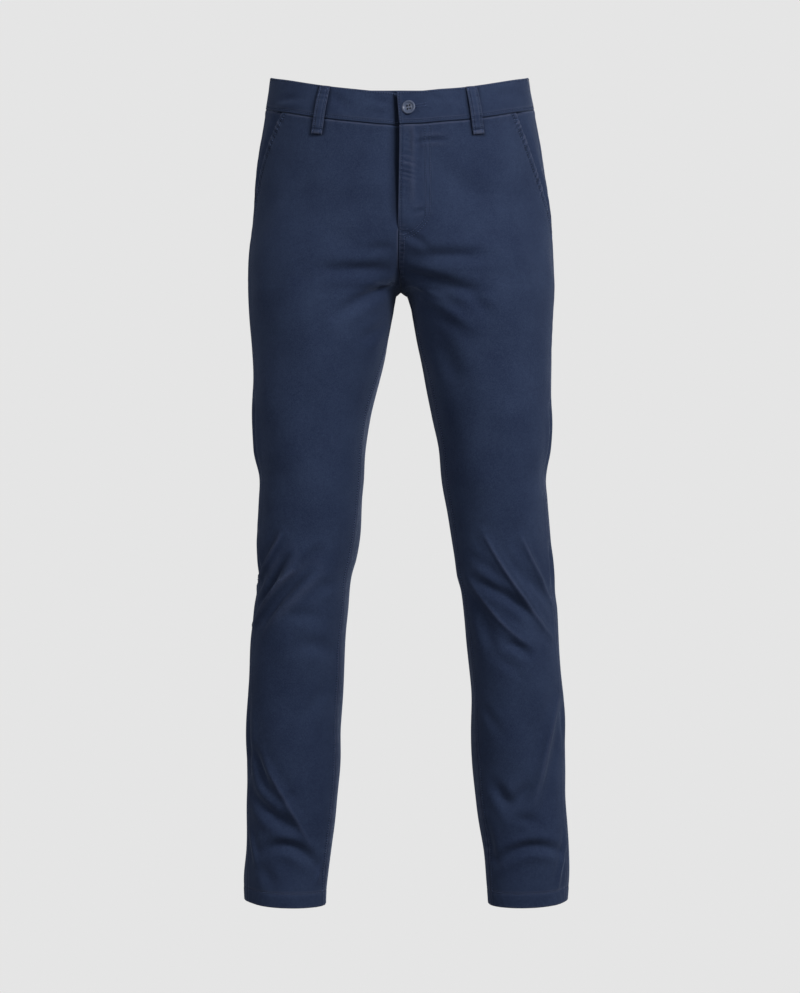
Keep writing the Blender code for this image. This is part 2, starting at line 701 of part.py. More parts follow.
def waistband(name):
    """One strip round the waist: its left end laps over its right end at the centre front."""
    round_half = np.linspace(-90, 90, BAND_COLUMNS + 1)
    tuck = turn_at(LEFT, FRONT, SEAM_X + BAND_UNDER, BAND_FRONT_Z)
    lap = turn_at(RIGHT, FRONT, SEAM_X - BAND_LAP, BAND_FRONT_Z)
    under = np.linspace(float(tuck), -90, BAND_UNDER_COLUMNS + 1)
    over = np.array([float(lap)])
    stretches = (
        (LEFT, under[:-1], 0),
        (RIGHT, round_half[:-1], 0),
        (LEFT, round_half[::-1], 1),
        (RIGHT, over, 1),
    )
    columns = []
    for half, turns, lapping in stretches:
        for turn in turns:
            z = waist_seam(turn) + SEAM_GAP / 2 + np.linspace(0, BAND_HEIGHT, BAND_ROWS + 1)
            turn = np.full_like(z, turn)
            points = smooth_skin(half, turn, z)
            out = facing_out(smooth_skin, half, turn, z)
            front = points[:, 1:2] < 0
            lift = lapping * band_lift(points[:, :1]) * front
            columns.append((points + out * (BAND_PROUD + lift), points + out * (lift - BAND_SUNK)))
    outer = np.stack([column[0] for column in columns], axis=1)
    inner = np.stack([column[1] for column in columns], axis=1)
    return wall(name, outer, inner, TWILL)


def belt_loop(loop):
    """A narrow strip over the waistband, caught at its top and below the waist seam."""
    share = np.linspace(0, 1, LOOP_ROWS + 1)
    x = loop.x_top + (loop.x_foot - loop.x_top) * share
    seam = waist_seam(turn_at(loop.half, loop.face, loop.x_top, BAND_FRONT_Z))
    z = seam + BAND_HEIGHT - (BAND_HEIGHT + LOOP_BELOW_SEAM) * share
    turn = turn_at(loop.half, loop.face, x, z)
    points = smooth_skin(loop.half, turn, z)
    out = facing_out(smooth_skin, loop.half, turn, z)
    along = np.gradient(points, axis=0)
    across = np.cross(along, out)
    across /= np.linalg.norm(across, axis=-1, keepdims=True)
    off = BAND_PROUD + LOOP_GAP + LOOP_BULGE * np.sin(np.pi * share)
    if loop.face == FRONT and loop.half == LEFT:
        off = off + band_lift(x)
    middle = points + out * off[:, None]
    sides = np.array([-0.5, 0.5]) * LOOP_WIDTH
    outer = middle[:, None] + across[:, None] * sides[None, :, None]
    inner = outer + out[:, None] * LOOP_CLOTH
    return wall(loop.name, outer, inner, TWILL)


class Turned(NamedTuple):
    """A point of a turned outline."""

    radius: float
    height: float


BUTTON_OUTLINE = (
    Turned(0, 1.9),
    Turned(5.2, 1.9),
    Turned(6.1, 2.8),
    Turned(7.5, 3.0),
    Turned(8.35, 2.4),
    Turned(8.5, 1.5),
    Turned(7.4, 0.3),
    Turned(5.6, 0),
    Turned(0, 0),
)


def cutter_of_holes(place):
    """Four thin cylinders through the button."""
    body = bmesh.new()
    for across in (-1, 1):
        for up in (-1, 1):
            shift = Vector((across, up, 0)) * BUTTON_HOLE_SPACING * MM
            bmesh.ops.create_cone(
                body,
                cap_ends=True,
                segments=BUTTON_HOLE_SIDES,
                radius1=BUTTON_HOLE_RADIUS * MM,
                radius2=BUTTON_HOLE_RADIUS * MM,
                depth=BUTTON_CUT_DEPTH * MM,
                matrix=Matrix.Translation(shift),
            )
    mesh = bpy.data.meshes.new("button_holes")
    body.to_mesh(mesh)
    body.free()
    cutter = bpy.data.objects.new("button_holes", mesh)
    cutter.matrix_world = place
    cutter.hide_render = True
    cutter.display_type = "WIRE"
    bpy.data.collections["Cutters"].objects.link(cutter)
    return cutter


def waist_button(name):
    """A turned button with four holes, on the left end of the waistband."""
    turn = turn_at(LEFT, FRONT, BUTTON_X, BUTTON_Z)
    point = smooth_skin(LEFT, turn, BUTTON_Z)
    out = facing_out(smooth_skin, LEFT, turn, BUTTON_Z)
    middle = Vector(point + out * (BAND_PROUD + BAND_LIFT + BUTTON_OFF_BAND)) * MM
    place = Matrix.Translation(middle) @ Vector(out).to_track_quat("Z", "Y").to_matrix().to_4x4()
    mesh = bpy.data.meshes.new(name)
    points = [(row.radius * MM, 0, row.height * MM) for row in BUTTON_OUTLINE]
    mesh.from_pydata(points, [(i, i + 1) for i in range(len(points) - 1)], [])
    button = add_part(name, mesh, BUTTON)
    button.parent = None
    button.matrix_world = place
    turned = button.modifiers.new("Turned", "SCREW")
    turned.steps = turned.render_steps = BUTTON_STEPS
    turned.use_merge_vertices = True
    turned.merge_threshold = 0.00001
    holes = button.modifiers.new("Holes", "BOOLEAN")
    holes.object = cutter_of_holes(place)
    holes.operation = "DIFFERENCE"
    return button


def clear_scene():
    """Removes what the scene holds and makes the two collections and the waist's empty."""
    for found in list(bpy.data.objects):
        bpy.data.objects.remove(found, do_unlink=True)
    for name in ("Chino trousers", "Cutters"):
        bpy.context.scene.collection.children.link(bpy.data.collections.new(name))
    waist = bpy.data.objects.new("waist", None)
    bpy.data.collections["Chino trousers"].objects.link(waist)


def main():
    clear_scene()
    front_panel(RIGHT, "front_right")
    front_panel(LEFT, "front_left")
    back_panel(RIGHT, "back_right")
    back_panel(LEFT, "back_left")
    pocket_facing(RIGHT, "pocket_facing_right")
    pocket_facing(LEFT, "pocket_facing_left")
    fly_shield("fly_shield")
    waistband("waistband")
    for loop in BELT_LOOPS:
        belt_loop(loop)
    waist_button("waist_button")


main()
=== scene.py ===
"""Chino trousers in navy twill, filled out as on a general figure, in a pale studio.

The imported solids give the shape. Over each of them goes a thin shell of cloth on the same form, with
its folds, seams, sewing and edges. Sizes are in millimetres and angles in degrees, and meshes are
written in metres. +X is the wearer's left, -Y the front and +Z up, from the middle of the waist.
"""

import logging
from collections.abc import Iterable
from dataclasses import dataclass, field
from enum import Enum, IntEnum

import bmesh
import bpy
import numpy as np
from bpy.types import ID, Material, Mesh, Node, NodeSocket, NodeTree, Object
from mathutils import Matrix, Vector
from mathutils.bvhtree import BVHTree
from numpy import ndarray as Array


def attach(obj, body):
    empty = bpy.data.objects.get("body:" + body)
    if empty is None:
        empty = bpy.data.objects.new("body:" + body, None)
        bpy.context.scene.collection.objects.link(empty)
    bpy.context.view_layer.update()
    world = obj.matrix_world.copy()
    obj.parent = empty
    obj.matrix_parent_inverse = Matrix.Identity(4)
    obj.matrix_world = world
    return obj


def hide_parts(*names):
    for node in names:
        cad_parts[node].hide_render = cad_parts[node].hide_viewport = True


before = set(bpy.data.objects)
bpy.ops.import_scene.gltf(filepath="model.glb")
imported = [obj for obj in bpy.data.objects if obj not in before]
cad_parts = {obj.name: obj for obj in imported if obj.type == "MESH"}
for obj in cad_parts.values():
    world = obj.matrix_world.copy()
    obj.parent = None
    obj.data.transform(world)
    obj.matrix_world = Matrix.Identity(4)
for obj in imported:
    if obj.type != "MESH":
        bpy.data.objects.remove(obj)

LOG = logging.getLogger("chino trousers")
MM = 0.001
BODY = "root"
FAR = 99.0  # a distance past the reach of any seam's relief
OVER = 0.14  # how far thread lies over the cloth


class Half(IntEnum):
    """One half of the trousers; its value is the way that it reaches along X."""

    RIGHT = -1
    LEFT = 1


class Side(IntEnum):
    """The front or the back panel of a half; its value is the sign of its turns."""

    FRONT = -1
    BACK = 1


class Face(Enum):
    """The way that a fold is placed: by x on the front or the back, or by y on the outer side."""

    FRONT = "front"
    BACK = "back"
    OUTER = "outer"


class Slot(Enum):
    """The record's material slots."""

    TWILL = "twill"
    THREAD = "thread"
    BUTTON = "button"


def ease(share: Array) -> Array:
    """A share held between 0 and 1, with soft ends."""
    share = np.clip(share, 0, 1)
    return share * share * (3 - 2 * share)


def bump(distance: Array, width: float) -> Array:
    """A round hump, 1 high, of a half width."""
    return np.exp(-((distance / width) ** 2))


def softer_max(first: Array, second: Array, softness: float = 0.4) -> Array:
    """The greater of two, without a kink where they cross."""
    return (first + second + np.hypot(first - second, softness)) / 2


def roll(distance: Array, radius: float, depth: float) -> Array:
    """How far a surface has turned down at a distance from its rounded edge."""
    share = np.clip(1 - distance / radius, 0, 1)
    return depth * (1 - np.sqrt(1 - share**2))


def ripple(along: Array, pitch: float, phase: float) -> Array:
    """An uneven ripple along a seam, about 1 high and deep.

    Args:
        along: How far along the seam each point lies.
        pitch: The ripple's main length.
        phase: Where it starts.

    Returns:
        The ripple at each point.
    """
    turn = 2 * np.pi * along / pitch
    wander = 1.4 * np.sin(turn / 6.3 + phase)
    first = np.sin(turn + wander + phase)
    second = np.sin(turn * 1.67 - wander + 2.3 * phase)
    third = np.sin(turn / 2.9 + 1.7 * phase)
    return (0.55 * first + 0.3 * second + 0.25 * third) * (0.7 + 0.3 * np.sin(turn / 9.1 - phase))


def unit(vectors: Array) -> Array:
    """The vectors, each 1 long."""
    return vectors / np.linalg.norm(vectors, axis=-1, keepdims=True)


def lengths_along(line: Array) -> Array:
    """How far along a line of points each of them lies."""
    return np.append(0, np.cumsum(np.linalg.norm(np.diff(line, axis=0), axis=1)))


def gap_to_run(points: Array, start: Array, end: Array) -> tuple:
    """The nearest place to points on a straight run.

    Args:
        points: The points.
        start: Where the run starts.
        end: Where it ends.

    Returns:
        How far the points lie from the run, and the shares of it where they are nearest.
    """
    run = end - start
    share = np.clip((points - start) @ run / (run @ run), 0, 1)
    return np.linalg.norm(points - start - share[..., None] * run, axis=-1), share


def stations(length: Array, near: tuple, far: tuple, count: int) -> Array:
    """Distances along lines: close together near both ends, and even between.

    Args:
        length: The lines' lengths.
        near: Distances from their start, rising from 0.
        far: Distances from their end, rising from 0.
        count: How many stations each line gets.

    Returns:
        An array with one more axis than length.
    """
    length = np.asarray(length, float)[..., None]
    first, last = near[-1], length - far[-1]
    middle = count - len(near) - len(far)
    share = (np.arange(middle) + 1) / (middle + 1)
    start = np.broadcast_to(np.array(near, float), (*length.shape[:-1], len(near)))
    return np.concatenate((start, first + (last - first) * share, length - np.array(far)[::-1]), -1)


@dataclass(frozen=True)
class Table:
    """Columns of numbers against height, joined by smooth curves that never overshoot."""

    names: tuple
    rows: tuple

    def at(self, name: str, z: Array) -> Array:
        """A column's value at each height z.

        Args:
            name: The column's name.
            z: The heights.

        Returns:
            The values.
        """
        rows = np.array(self.rows, float)
        heights, values = rows[:, 0], rows[:, self.names.index(name)]
        steps = np.diff(heights)
        slopes = np.diff(values) / steps
        tangents = np.zeros_like(values)
        level = slopes[:-1] * slopes[1:] > 0
        before = (2 * steps[1:] + steps[:-1])[level]
        after = (steps[1:] + 2 * steps[:-1])[level]
        blend = before / slopes[:-1][level] + after / slopes[1:][level]
        tangents[1:-1][level] = (before + after) / blend
        tangents[0], tangents[-1] = slopes[0], slopes[-1]
        z = np.clip(np.asarray(z, float), heights[0], heights[-1])
        row = np.clip(np.searchsorted(heights, z) - 1, 0, len(steps) - 1)
        share = (z - heights[row]) / steps[row]
        rest = 1 - share
        return (
            values[row] * (1 + 2 * share) * rest**2
            + tangents[row] * steps[row] * share * rest**2
            + values[row + 1] * (3 - 2 * share) * share**2
            - tangents[row + 1] * steps[row] * rest * share**2
        )


SECTIONS = Table(
    ("z", "outer_right", "outer_left", "inner_right", "inner_left", "past_seam", "front", "back", "middle"),
    (
        (-1030, 198, 213.8, 95, 113, 0, -52, 55, 1), (-1013, 198, 213.6, 94, 112, 0, -52, 55, 1),
        (-985, 198.5, 213.5, 91.5, 109, 0, -52, 56, 1), (-949, 197.3, 212.2, 88.9, 105.3, 0, -53, 58, 1),
        (-885, 198, 210.5, 82.2, 96.5, 0, -56, 62, 2), (-822, 196.6, 208.8, 77.3, 91.3, 0, -60, 66, 2),
        (-758, 193.7, 204.7, 74.5, 86.9, 0, -65, 66, 1), (-695, 192.1, 202.3, 72.1, 83.1, 0, -70, 61, 0),
        (-644, 188.2, 198, 67.8, 79.4, 0, -74, 57, -1), (-619, 183.8, 194.8, 65.7, 76.5, 0, -76, 56, -2),
        (-600, 180, 194.3, 63, 71.5, 0, -77, 56, -3), (-581, 181.3, 193.4, 58.2, 68.5, 0, -78, 57, -3),
        (-555, 182.9, 190.8, 54.6, 64.2, 0, -80, 60, -3), (-504, 179.9, 187.7, 49, 57, 0, -85, 67, -3),
        (-479, 178.2, 185.2, 45.3, 53.8, 0, -88, 70, -3), (-441, 184.7, 189.6, 42.3, 49.5, 0, -92, 75, -3),
        (-403, 185.9, 191.3, 36.7, 41.5, 0, -96, 81, -3), (-352, 187.6, 190.9, 26.4, 31, 0, -101, 90, -3),
        (-314, 189.1, 192.3, 16.7, 21.5, 0, -104, 98, -4),
        (-276, 190.6, 194.2, 9.1, 14.4, 0, -107, 109.2, -7),
        (-250, 190.9, 194.4, 5.6, 8.4, 0, -109, 118, -10.6),
        (-243, 191, 194.4, 3.6, 4.4, 0, -109.6, 120.5, -11.2),
        (-241, 191, 194.4, 0, 0, 0, -109.75, 121.2, -11.3),
        (-239, 191.1, 194.4, 0, 0, 0.010, -109.9, 121.9, -11.3),
        (-235, 191.1, 194.4, 0, 0, 0.028, -110.25, 123.2, -11.1),
        (-225, 191.3, 194.3, 0, 0, 0.095, -111.2, 126.3, -9.4),
        (-200, 191.5, 193.5, 0, 0, 0.30, -113.9, 132, -4.2), (-174, 190.9, 192.3, 0, 0, 0.58, -116, 135, 0),
        (-149, 190.2, 190.8, 0, 0, 0.86, -117, 136, 2), (-123, 187.4, 187.2, 0, 0, 1, -117, 134, 3),
        (-98, 184, 184.2, 0, 0, 1, -116, 129, 3), (-60, 178.6, 178.2, 0, 0, 1, -114, 121, 2),
        (-35, 174.4, 173.2, 0, 0, 1, -112, 117, 2), (-9, 170.3, 168.2, 0, 0, 1, -109, 113, 2),
        (14, 166.5, 163.4, 0, 0, 1, -106, 110, 2), (45, 163.5, 160, 0, 0, 1, -102, 107, 2),
    ),
)
SEAM_TURNS = Table(
    ("z", "outseam", "inseam"),
    (
        *((-1030, 24, 27), (-800, 24, 26), (-600, 23, 24), (-380, 22, 22), (-300, 16, 14)),
        *((-250, 12, 3), (-241, 11, 0), (-145, 7, 0), (45, 6, 0)),
    ),
)


@dataclass(frozen=True)
class Mouth:
    """The edge of a slant pocket: its start before the outseam, its end, and how it bends."""

    top: float
    end: float
    curve: float


MOUTHS = {Half.RIGHT: Mouth(52, -152, 0.85), Half.LEFT: Mouth(55, -175, 1.15)}


@dataclass(frozen=True)
class Figure:
    """The smooth filled-out form: ovals round each leg, which meet at the centre seam's plane.

    A point is named by its half, its height and its turn, which is 0 at the outer side, -90 in
    front, 90 behind and 180 at the inseam.
    """

    squareness: float = 2.15
    seam_x: float = 1.0
    fork: float = -241
    side_of_fork: float = -214
    hem: float = -1013
    outer_hem_rise: float = 2
    inner_hem_drop: float = 4
    inner_hem_run: float = 90
    fork_row_run: float = 155
    side_waist: float = -9.3
    front_dip: float = 34.7
    front_sag: float = 3.5
    back_rise: float = 2.8
    dip_power: float = 0.92
    dip_softness: float = 0.06
    band_front_z: float = -20
    band_lift: float = 3.2
    band_lift_hold: float = 44
    band_lift_run: float = 38
    tuck_depth: float = 6.8
    tuck_run: float = 22.0

    def oval(self, half: Half, z: Array) -> tuple:
        """The middle, half width, widest place, front depth and back depth of a half's oval.

        Args:
            half: The half.
            z: The heights.

        Returns:
            The five sizes, each for every height.
        """
        name = half.name.lower()
        outer = SECTIONS.at("outer_" + name, z)
        inner = SECTIONS.at("inner_" + name, z) - SECTIONS.at("past_seam", z) * outer
        middle = SECTIONS.at("middle", z)
        front = middle - SECTIONS.at("front", z)
        back = SECTIONS.at("back", z) - middle
        return (outer + inner) / 2, (outer - inner) / 2, middle, front, back

    def point(self, half: Half, turn: Array, z: Array) -> Array:
        """Points of the smooth form.

        Args:
            half: The half that they are on.
            turn: Their turns.
            z: Their heights.

        Returns:
            The points.
        """
        centre, width, middle, front, back = self.oval(half, z)
        sideways, backwards = np.cos(np.radians(turn)), np.sin(np.radians(turn))
        power = 2 / self.squareness
        x = centre + width * np.sign(sideways) * np.abs(sideways) ** power
        depth = np.where(backwards < 0, front, back)
        y = middle + depth * np.sign(backwards) * np.abs(backwards) ** power
        return np.stack(np.broadcast_arrays(self.seam_x + int(half) * x, y, z), -1)

    def outward(self, half: Half, turn: Array, z: Array) -> Array:
        """The outward direction at points of the smooth form.

        Args:
            half: The half that they are on.
            turn: Their turns.
            z: Their heights.

        Returns:
            The directions.
        """
        around = self.point(half, turn + 0.25, z) - self.point(half, turn - 0.25, z)
        upwards = self.point(half, turn, z + 0.5) - self.point(half, turn, z - 0.5)
        return unit(int(half) * np.cross(around, upwards))

    def turn_at(self, half: Half, face: Face, across: Array, z: Array) -> Array:
        """The turn of the point of a face at a given x, or at a given y on the outer side.

        Args:
            half: The half.
            face: The face.
            across: The x or y.
            z: The height.

        Returns:
            The turn.
        """
        centre, width, middle, front, back = self.oval(half, z)
        power = self.squareness / 2
        if face is Face.OUTER:
            share = np.clip((across - middle) / np.where(across < middle, front, back), -1, 1)
            return np.degrees(np.arcsin(np.sign(share) * np.abs(share) ** power))
        share = np.clip((int(half) * (across - self.seam_x) - centre) / width, -1, 1)
        turn = np.degrees(np.arccos(np.sign(share) * np.abs(share) ** power))
        return -turn if face is Face.FRONT else turn

    def waist_seam(self, turn: Array) -> Array:
        """Height of the seam under the waistband, which dips and sags at the front.

        Args:
            turn: Turns round the waist.

        Returns:
            The height at each.
        """
        round_share = np.clip(np.abs(turn) / 90, 0, 1)
        share, soft = round_share**self.dip_power, self.dip_softness
        slant = (np.hypot(share, soft) - soft) / (np.hypot(1, soft) - soft)
        level = 1 - ease((round_share - 0.9) / 0.1) / 2
        sag = self.front_sag * ease((round_share - 0.3) / 0.45) * level
        front = -self.front_dip * slant - sag
        return self.side_waist + np.where(np.less(turn, 0), front, self.back_rise * slant)

    def outseam(self, z: Array) -> Array:
        """Turn of the outseam."""
        return -SEAM_TURNS.at("outseam", z)

    def centre(self, side: Side, z: Array) -> Array:
        """Turn of the centre seam above the fork, and of the inseam below it.

        Args:
            side: The panel's side.
            z: The heights.

        Returns:
            The turns.
        """
        past = np.clip(SECTIONS.at("past_seam", z), 0, 1)
        share = (1 - past) / (1 + past)
        cut = np.degrees(np.arccos(-(share ** (self.squareness / 2))))
        inseam = 180 + int(side) * SEAM_TURNS.at("inseam", z)
        return int(side) * np.where(np.asarray(z) > self.fork, cut, inseam)

    def mouth(self, half: Half, z: Array) -> Array:
        """Turn of the slant pocket's edge, and of the outseam below the mouth's end.

        Args:
            half: The half.
            z: The heights.

        Returns:
            The turns.
        """
        mouth = MOUTHS[half]
        share = np.clip((self.side_waist - z) / (self.side_waist - mouth.end), 0, 1)
        forwards = mouth.top * (1 - share**mouth.curve)
        depth = self.oval(Half.RIGHT, z)[3]
        return self.outseam(z) - np.degrees(forwards / depth)

    def left_end_lift(self, x: Array) -> Array:
        """How far the left end of the waistband stands off at x."""
        past_hold = x - self.seam_x - self.band_lift_hold
        return self.band_lift * (1 - ease(past_hold / self.band_lift_run))

    def tuck(self, from_seam: Array) -> Array:
        """How far the right side dips under the left one, at a distance from the centre seam."""
        return self.tuck_depth * (1 - ease(from_seam / self.tuck_run))


@dataclass(frozen=True)
class Fold:
    """A trough (depth below 0) or ridge along a bowed line on one face of one half.

    sharp is from 0, round, to 1, pinched.
    """

    half: Half
    face: Face
    across: float
    z: float
    across_end: float
    z_end: float
    bow: float
    width: float
    depth: float
    sharp: float = 0.0


def folds_of(*groups: tuple) -> tuple:
    """Folds from groups of a half, a face and rows of the other columns, in the order of Fold's."""
    return tuple(Fold(half, face, *row) for half, face, rows in groups for row in rows)


MAIN_FOLDS = folds_of(
    # Drag lines from the crotch
    (Half.RIGHT, Face.FRONT, (
        (-14, -221, -96, -224, 0, 8, -4.2), (-10, -240, -78, -279, 4, 8, -4.4),
        (-20, -290, -50, -306, 0, 8, -2.0), (-52, -183, -90, -184, 0, 13, -1.6),
    )),
    (Half.LEFT, Face.FRONT, (
        (20, -206, 109, -205, 0, 8, -4.2), (12, -224, 106, -249, -4, 8, -4.6),
        (82, -252, 109, -277, 2, 8, -2.8), (30, -252, 90, -293, 2, 8, 3.4),
        (49, -308, 72, -360, 0, 14, -3.0), (52, -108, 112, -142, 4, 13, -1.8),
    )),
    # The outseam pulled in, so that the back stands past it
    (Half.RIGHT, Face.OUTER, (
        (-38, -375, -32, -472, 0, 7, -4.6), (-30, -545, -24, -604, 0, 7, -4.0),
        (-26, -752, -24, -850, 0, 7, -3.6),
    )),
    (Half.LEFT, Face.OUTER, (
        (-38, -385, -32, -466, 0, 7, -4.6), (-30, -560, -26, -618, 0, 7, -3.6),
        (-24, -760, -22, -812, 0, 7, -3.2),
    )),
    # Knees
    (Half.RIGHT, Face.FRONT, (
        (-146, -546, -181, -614, -1, 6, 4.6, 0.5), (-130, -590, -186, -662, 5, 6.5, 4.8, 0.5),
        (-142, -580, -172, -630, 0, 7, -4.6), (-101, -574, -170, -652, 3, 9, -5.4),
        (-82, -610, -100, -612, 0, 8, -1.8), (-100, -650, -142, -651, 4, 8, -1.8),
        (-82, -698, -126, -688, 8, 10, -2.4),
    )),
    (Half.LEFT, Face.FRONT, (
        (150, -550, 192, -634, -2, 6, 3.8, 0.5), (103, -546, 192, -676, -7, 6.5, 3.8, 0.5),
        (88, -602, 162, -684, -11, 8, 3.2, 0.3), (92, -602, 168, -649, 2, 6.5, -4.2),
        (140, -582, 180, -622, -2, 7.5, -2.6), (134, -682, 161, -697, 2, 5.5, -3.2),
        (102, -648, 116, -692, 0, 9, -3.0),
    )),
    # Calves and ankles
    (Half.RIGHT, Face.FRONT, (
        (-184, -818, -163, -872, 0, 7, -4.4), (-186, -872, -130, -914, -6, 8, -5.6),
        (-169, -834, -112, -938, 3, 6, 3.0, 0.5), (-172, -946, -100, -968, 20, 7, -6.0),
        (-172, -962, -156, -990, 0, 8, -2.2), (-189, -918, -181, -962, 0, 4.5, 2.2, 0.3),
        (-106, -984, -96, -958, 0, 4, 1.8, 0.3),
    )),
    (Half.LEFT, Face.FRONT, (
        (196, -754, 166, -888, -5, 8, 4.2), (117, -860, 138, -890, 0, 8, -3.8),
        (138, -890, 166, -858, 0, 9, -4.6), (122, -958, 201, -946, 15, 6.5, -5.8),
        (207, -920, 198, -994, 0, 4, 2.2, 0.4), (110, -916, 118, -962, 0, 8, -2.4),
    )),
    # Drag lines under the seat
    (Half.RIGHT, Face.BACK, (
        (-14, -226, -98, -246, -5, 13, -4.2), (-20, -268, -112, -304, -6, 12, -3.4),
        (-24, -184, -96, -172, 5, 15, -1.6),
    )),
    (Half.LEFT, Face.BACK, (
        (14, -222, 106, -240, -6, 13, -4.4), (26, -272, 118, -314, -6, 12, -3.2),
        (30, -186, 92, -170, 4, 15, -1.5),
    )),
    # Backs of the knees
    (Half.RIGHT, Face.BACK, (
        (-72, -566, -164, -548, -5, 8, -4.4), (-74, -602, -170, -612, -4, 8, -5.2),
        (-84, -648, -160, -636, 4, 9, -3.4),
    )),
    (Half.LEFT, Face.BACK, (
        (78, -560, 176, -572, -4, 8, -4.6), (86, -606, 182, -596, -5, 8, -5.0),
        (90, -642, 164, -660, 3, 9, -3.4),
    )),
    # Calves and ankles, behind
    (Half.RIGHT, Face.BACK, (
        (-178, -770, -142, -862, 0, 10, 3.2), (-182, -898, -108, -918, -6, 8, -5.2),
        (-98, -946, -168, -962, 5, 8, -4.2),
    )),
    (Half.LEFT, Face.BACK, (
        (184, -782, 140, -858, 0, 10, 3.0), (198, -906, 124, -928, -6, 8, -5.4),
        (112, -944, 186, -966, 5, 8, -3.8),
    )),
)

# Small creases over the main folds: pinched crests, and puckered spots at the fly, knees and seams
FINE_FOLDS = folds_of(
    (Half.LEFT, Face.FRONT, (
        (20, -66, 57, -63, 1, 3.0, -2.0, 0.7), (16.5, -46, 16, -88, 0, 3.2, 1.5),
        (23, -46, 22.5, -84, 0, 3.2, -0.9), (15, -153, 32, -148, 0, 2.6, -1.3, 0.7),
        (14.5, -84, 15.5, -146, 0, 3.6, 1.4), (4, -178, 34, -196, 3, 5, -1.8),
        (8, -236, 60, -262, 3, 3.5, 1.0, 0.5), (152, -552, 192, -634, -2, 2.4, 1.8, 0.8),
        (106, -550, 192, -676, -7, 2.4, 1.9, 0.8), (90, -604, 160, -683, -11, 2.8, 1.1, 0.7),
        (197, -752, 167, -884, -5, 3, 1.3, 0.7), (184, -826, 172, -872, 0, 3, 0.9, 0.6),
        (88, -572, 122, -604, 3, 6, -1.2), (120, -702, 150, -722, 3, 6, -1.1),
        (100, -760, 128, -800, 3, 7, -1.1), (140, -905, 176, -912, 5, 6, -1.4),
    )),
    (Half.RIGHT, Face.FRONT, (
        (-8, -232, -52, -250, -2, 3.5, 1.0, 0.5), (-6, -196, -44, -202, 3, 6, -1.3),
        (-148, -548, -180, -612, -1, 3.0, 2.2, 0.8), (-132, -592, -185, -661, 5, 3.0, 2.4, 0.8),
        (-136, -570, -177, -632, 0, 5, -1.8, 0.7), (-108, -592, -166, -652, 4, 6, -1.8, 0.7),
        (-168, -836, -113, -936, 3, 2.8, 1.1, 0.7), (-150, -632, -172, -668, 2, 4, -1.2),
        (-94, -562, -128, -590, 3, 6, -1.2), (-92, -740, -116, -778, 3, 8, -1.1),
        (-128, -870, -160, -892, 3, 6, -1.4),
    )),
    (Half.RIGHT, Face.BACK, (
        (-60, -590, -120, -584, 3, 5, -1.4), (-110, -626, -156, -618, -3, 4, 1.1, 0.5),
        (-78, -584, -160, -577, -4, 2.8, 1.6, 0.8), (-92, -630, -168, -620, 4, 2.8, 1.5, 0.8),
        (-176, -930, -112, -938, -5, 2.8, 1.5, 0.8), (-22, -246, -92, -272, -6, 3.4, 1.3, 0.7),
        (-120, -880, -166, -886, 4, 6, -1.6),
    )),
    (Half.LEFT, Face.BACK, (
        (100, -586, 150, -580, 3, 5, -1.4), (112, -624, 158, -634, -3, 4, 1.1, 0.5),
        (82, -580, 176, -588, -5, 2.8, 1.6, 0.8), (96, -622, 176, -630, 3, 2.8, 1.5, 0.8),
        (190, -934, 128, -946, -6, 2.8, 1.5, 0.8), (24, -246, 100, -276, -5, 3.4, 1.3, 0.7),
        (136, -884, 180, -880, 4, 6, -1.6),
    )),
)
BAND_FOLDS = folds_of(
    (Half.RIGHT, Face.FRONT, (
        (-86, -8, -62, -22, 0, 6, -1.5), (-44, -21, -9, -26, 0, 4.5, 1.1),
        (-30, -16, -14, -19, 0, 3.6, -0.9), (-152, -13, -114, -16, 0, 4, 1.1),
        (-152, -5, -122, -8, 0, 4, -1.1),
    )),
    (Half.LEFT, Face.FRONT, (
        (36, -12, 54, -14, 0, 3.6, -1.2), (60, -2, 76, -20, 0, 6, -0.9),
        (104, -8, 150, 2, 0, 6, -0.9), (116, 6, 152, 12, 0, 5, 0.7),
    )),
    (Half.RIGHT, Face.BACK, (
        (-60, 22, -48, 0, 0, 6, -1.0), (-132, 16, -126, -4, 0, 6, -0.9),
    )),
    (Half.LEFT, Face.BACK, (
        (44, 24, 60, 2, 0, 6, -1.0), (132, 16, 124, -4, 0, 6, -0.9),
    )),
)


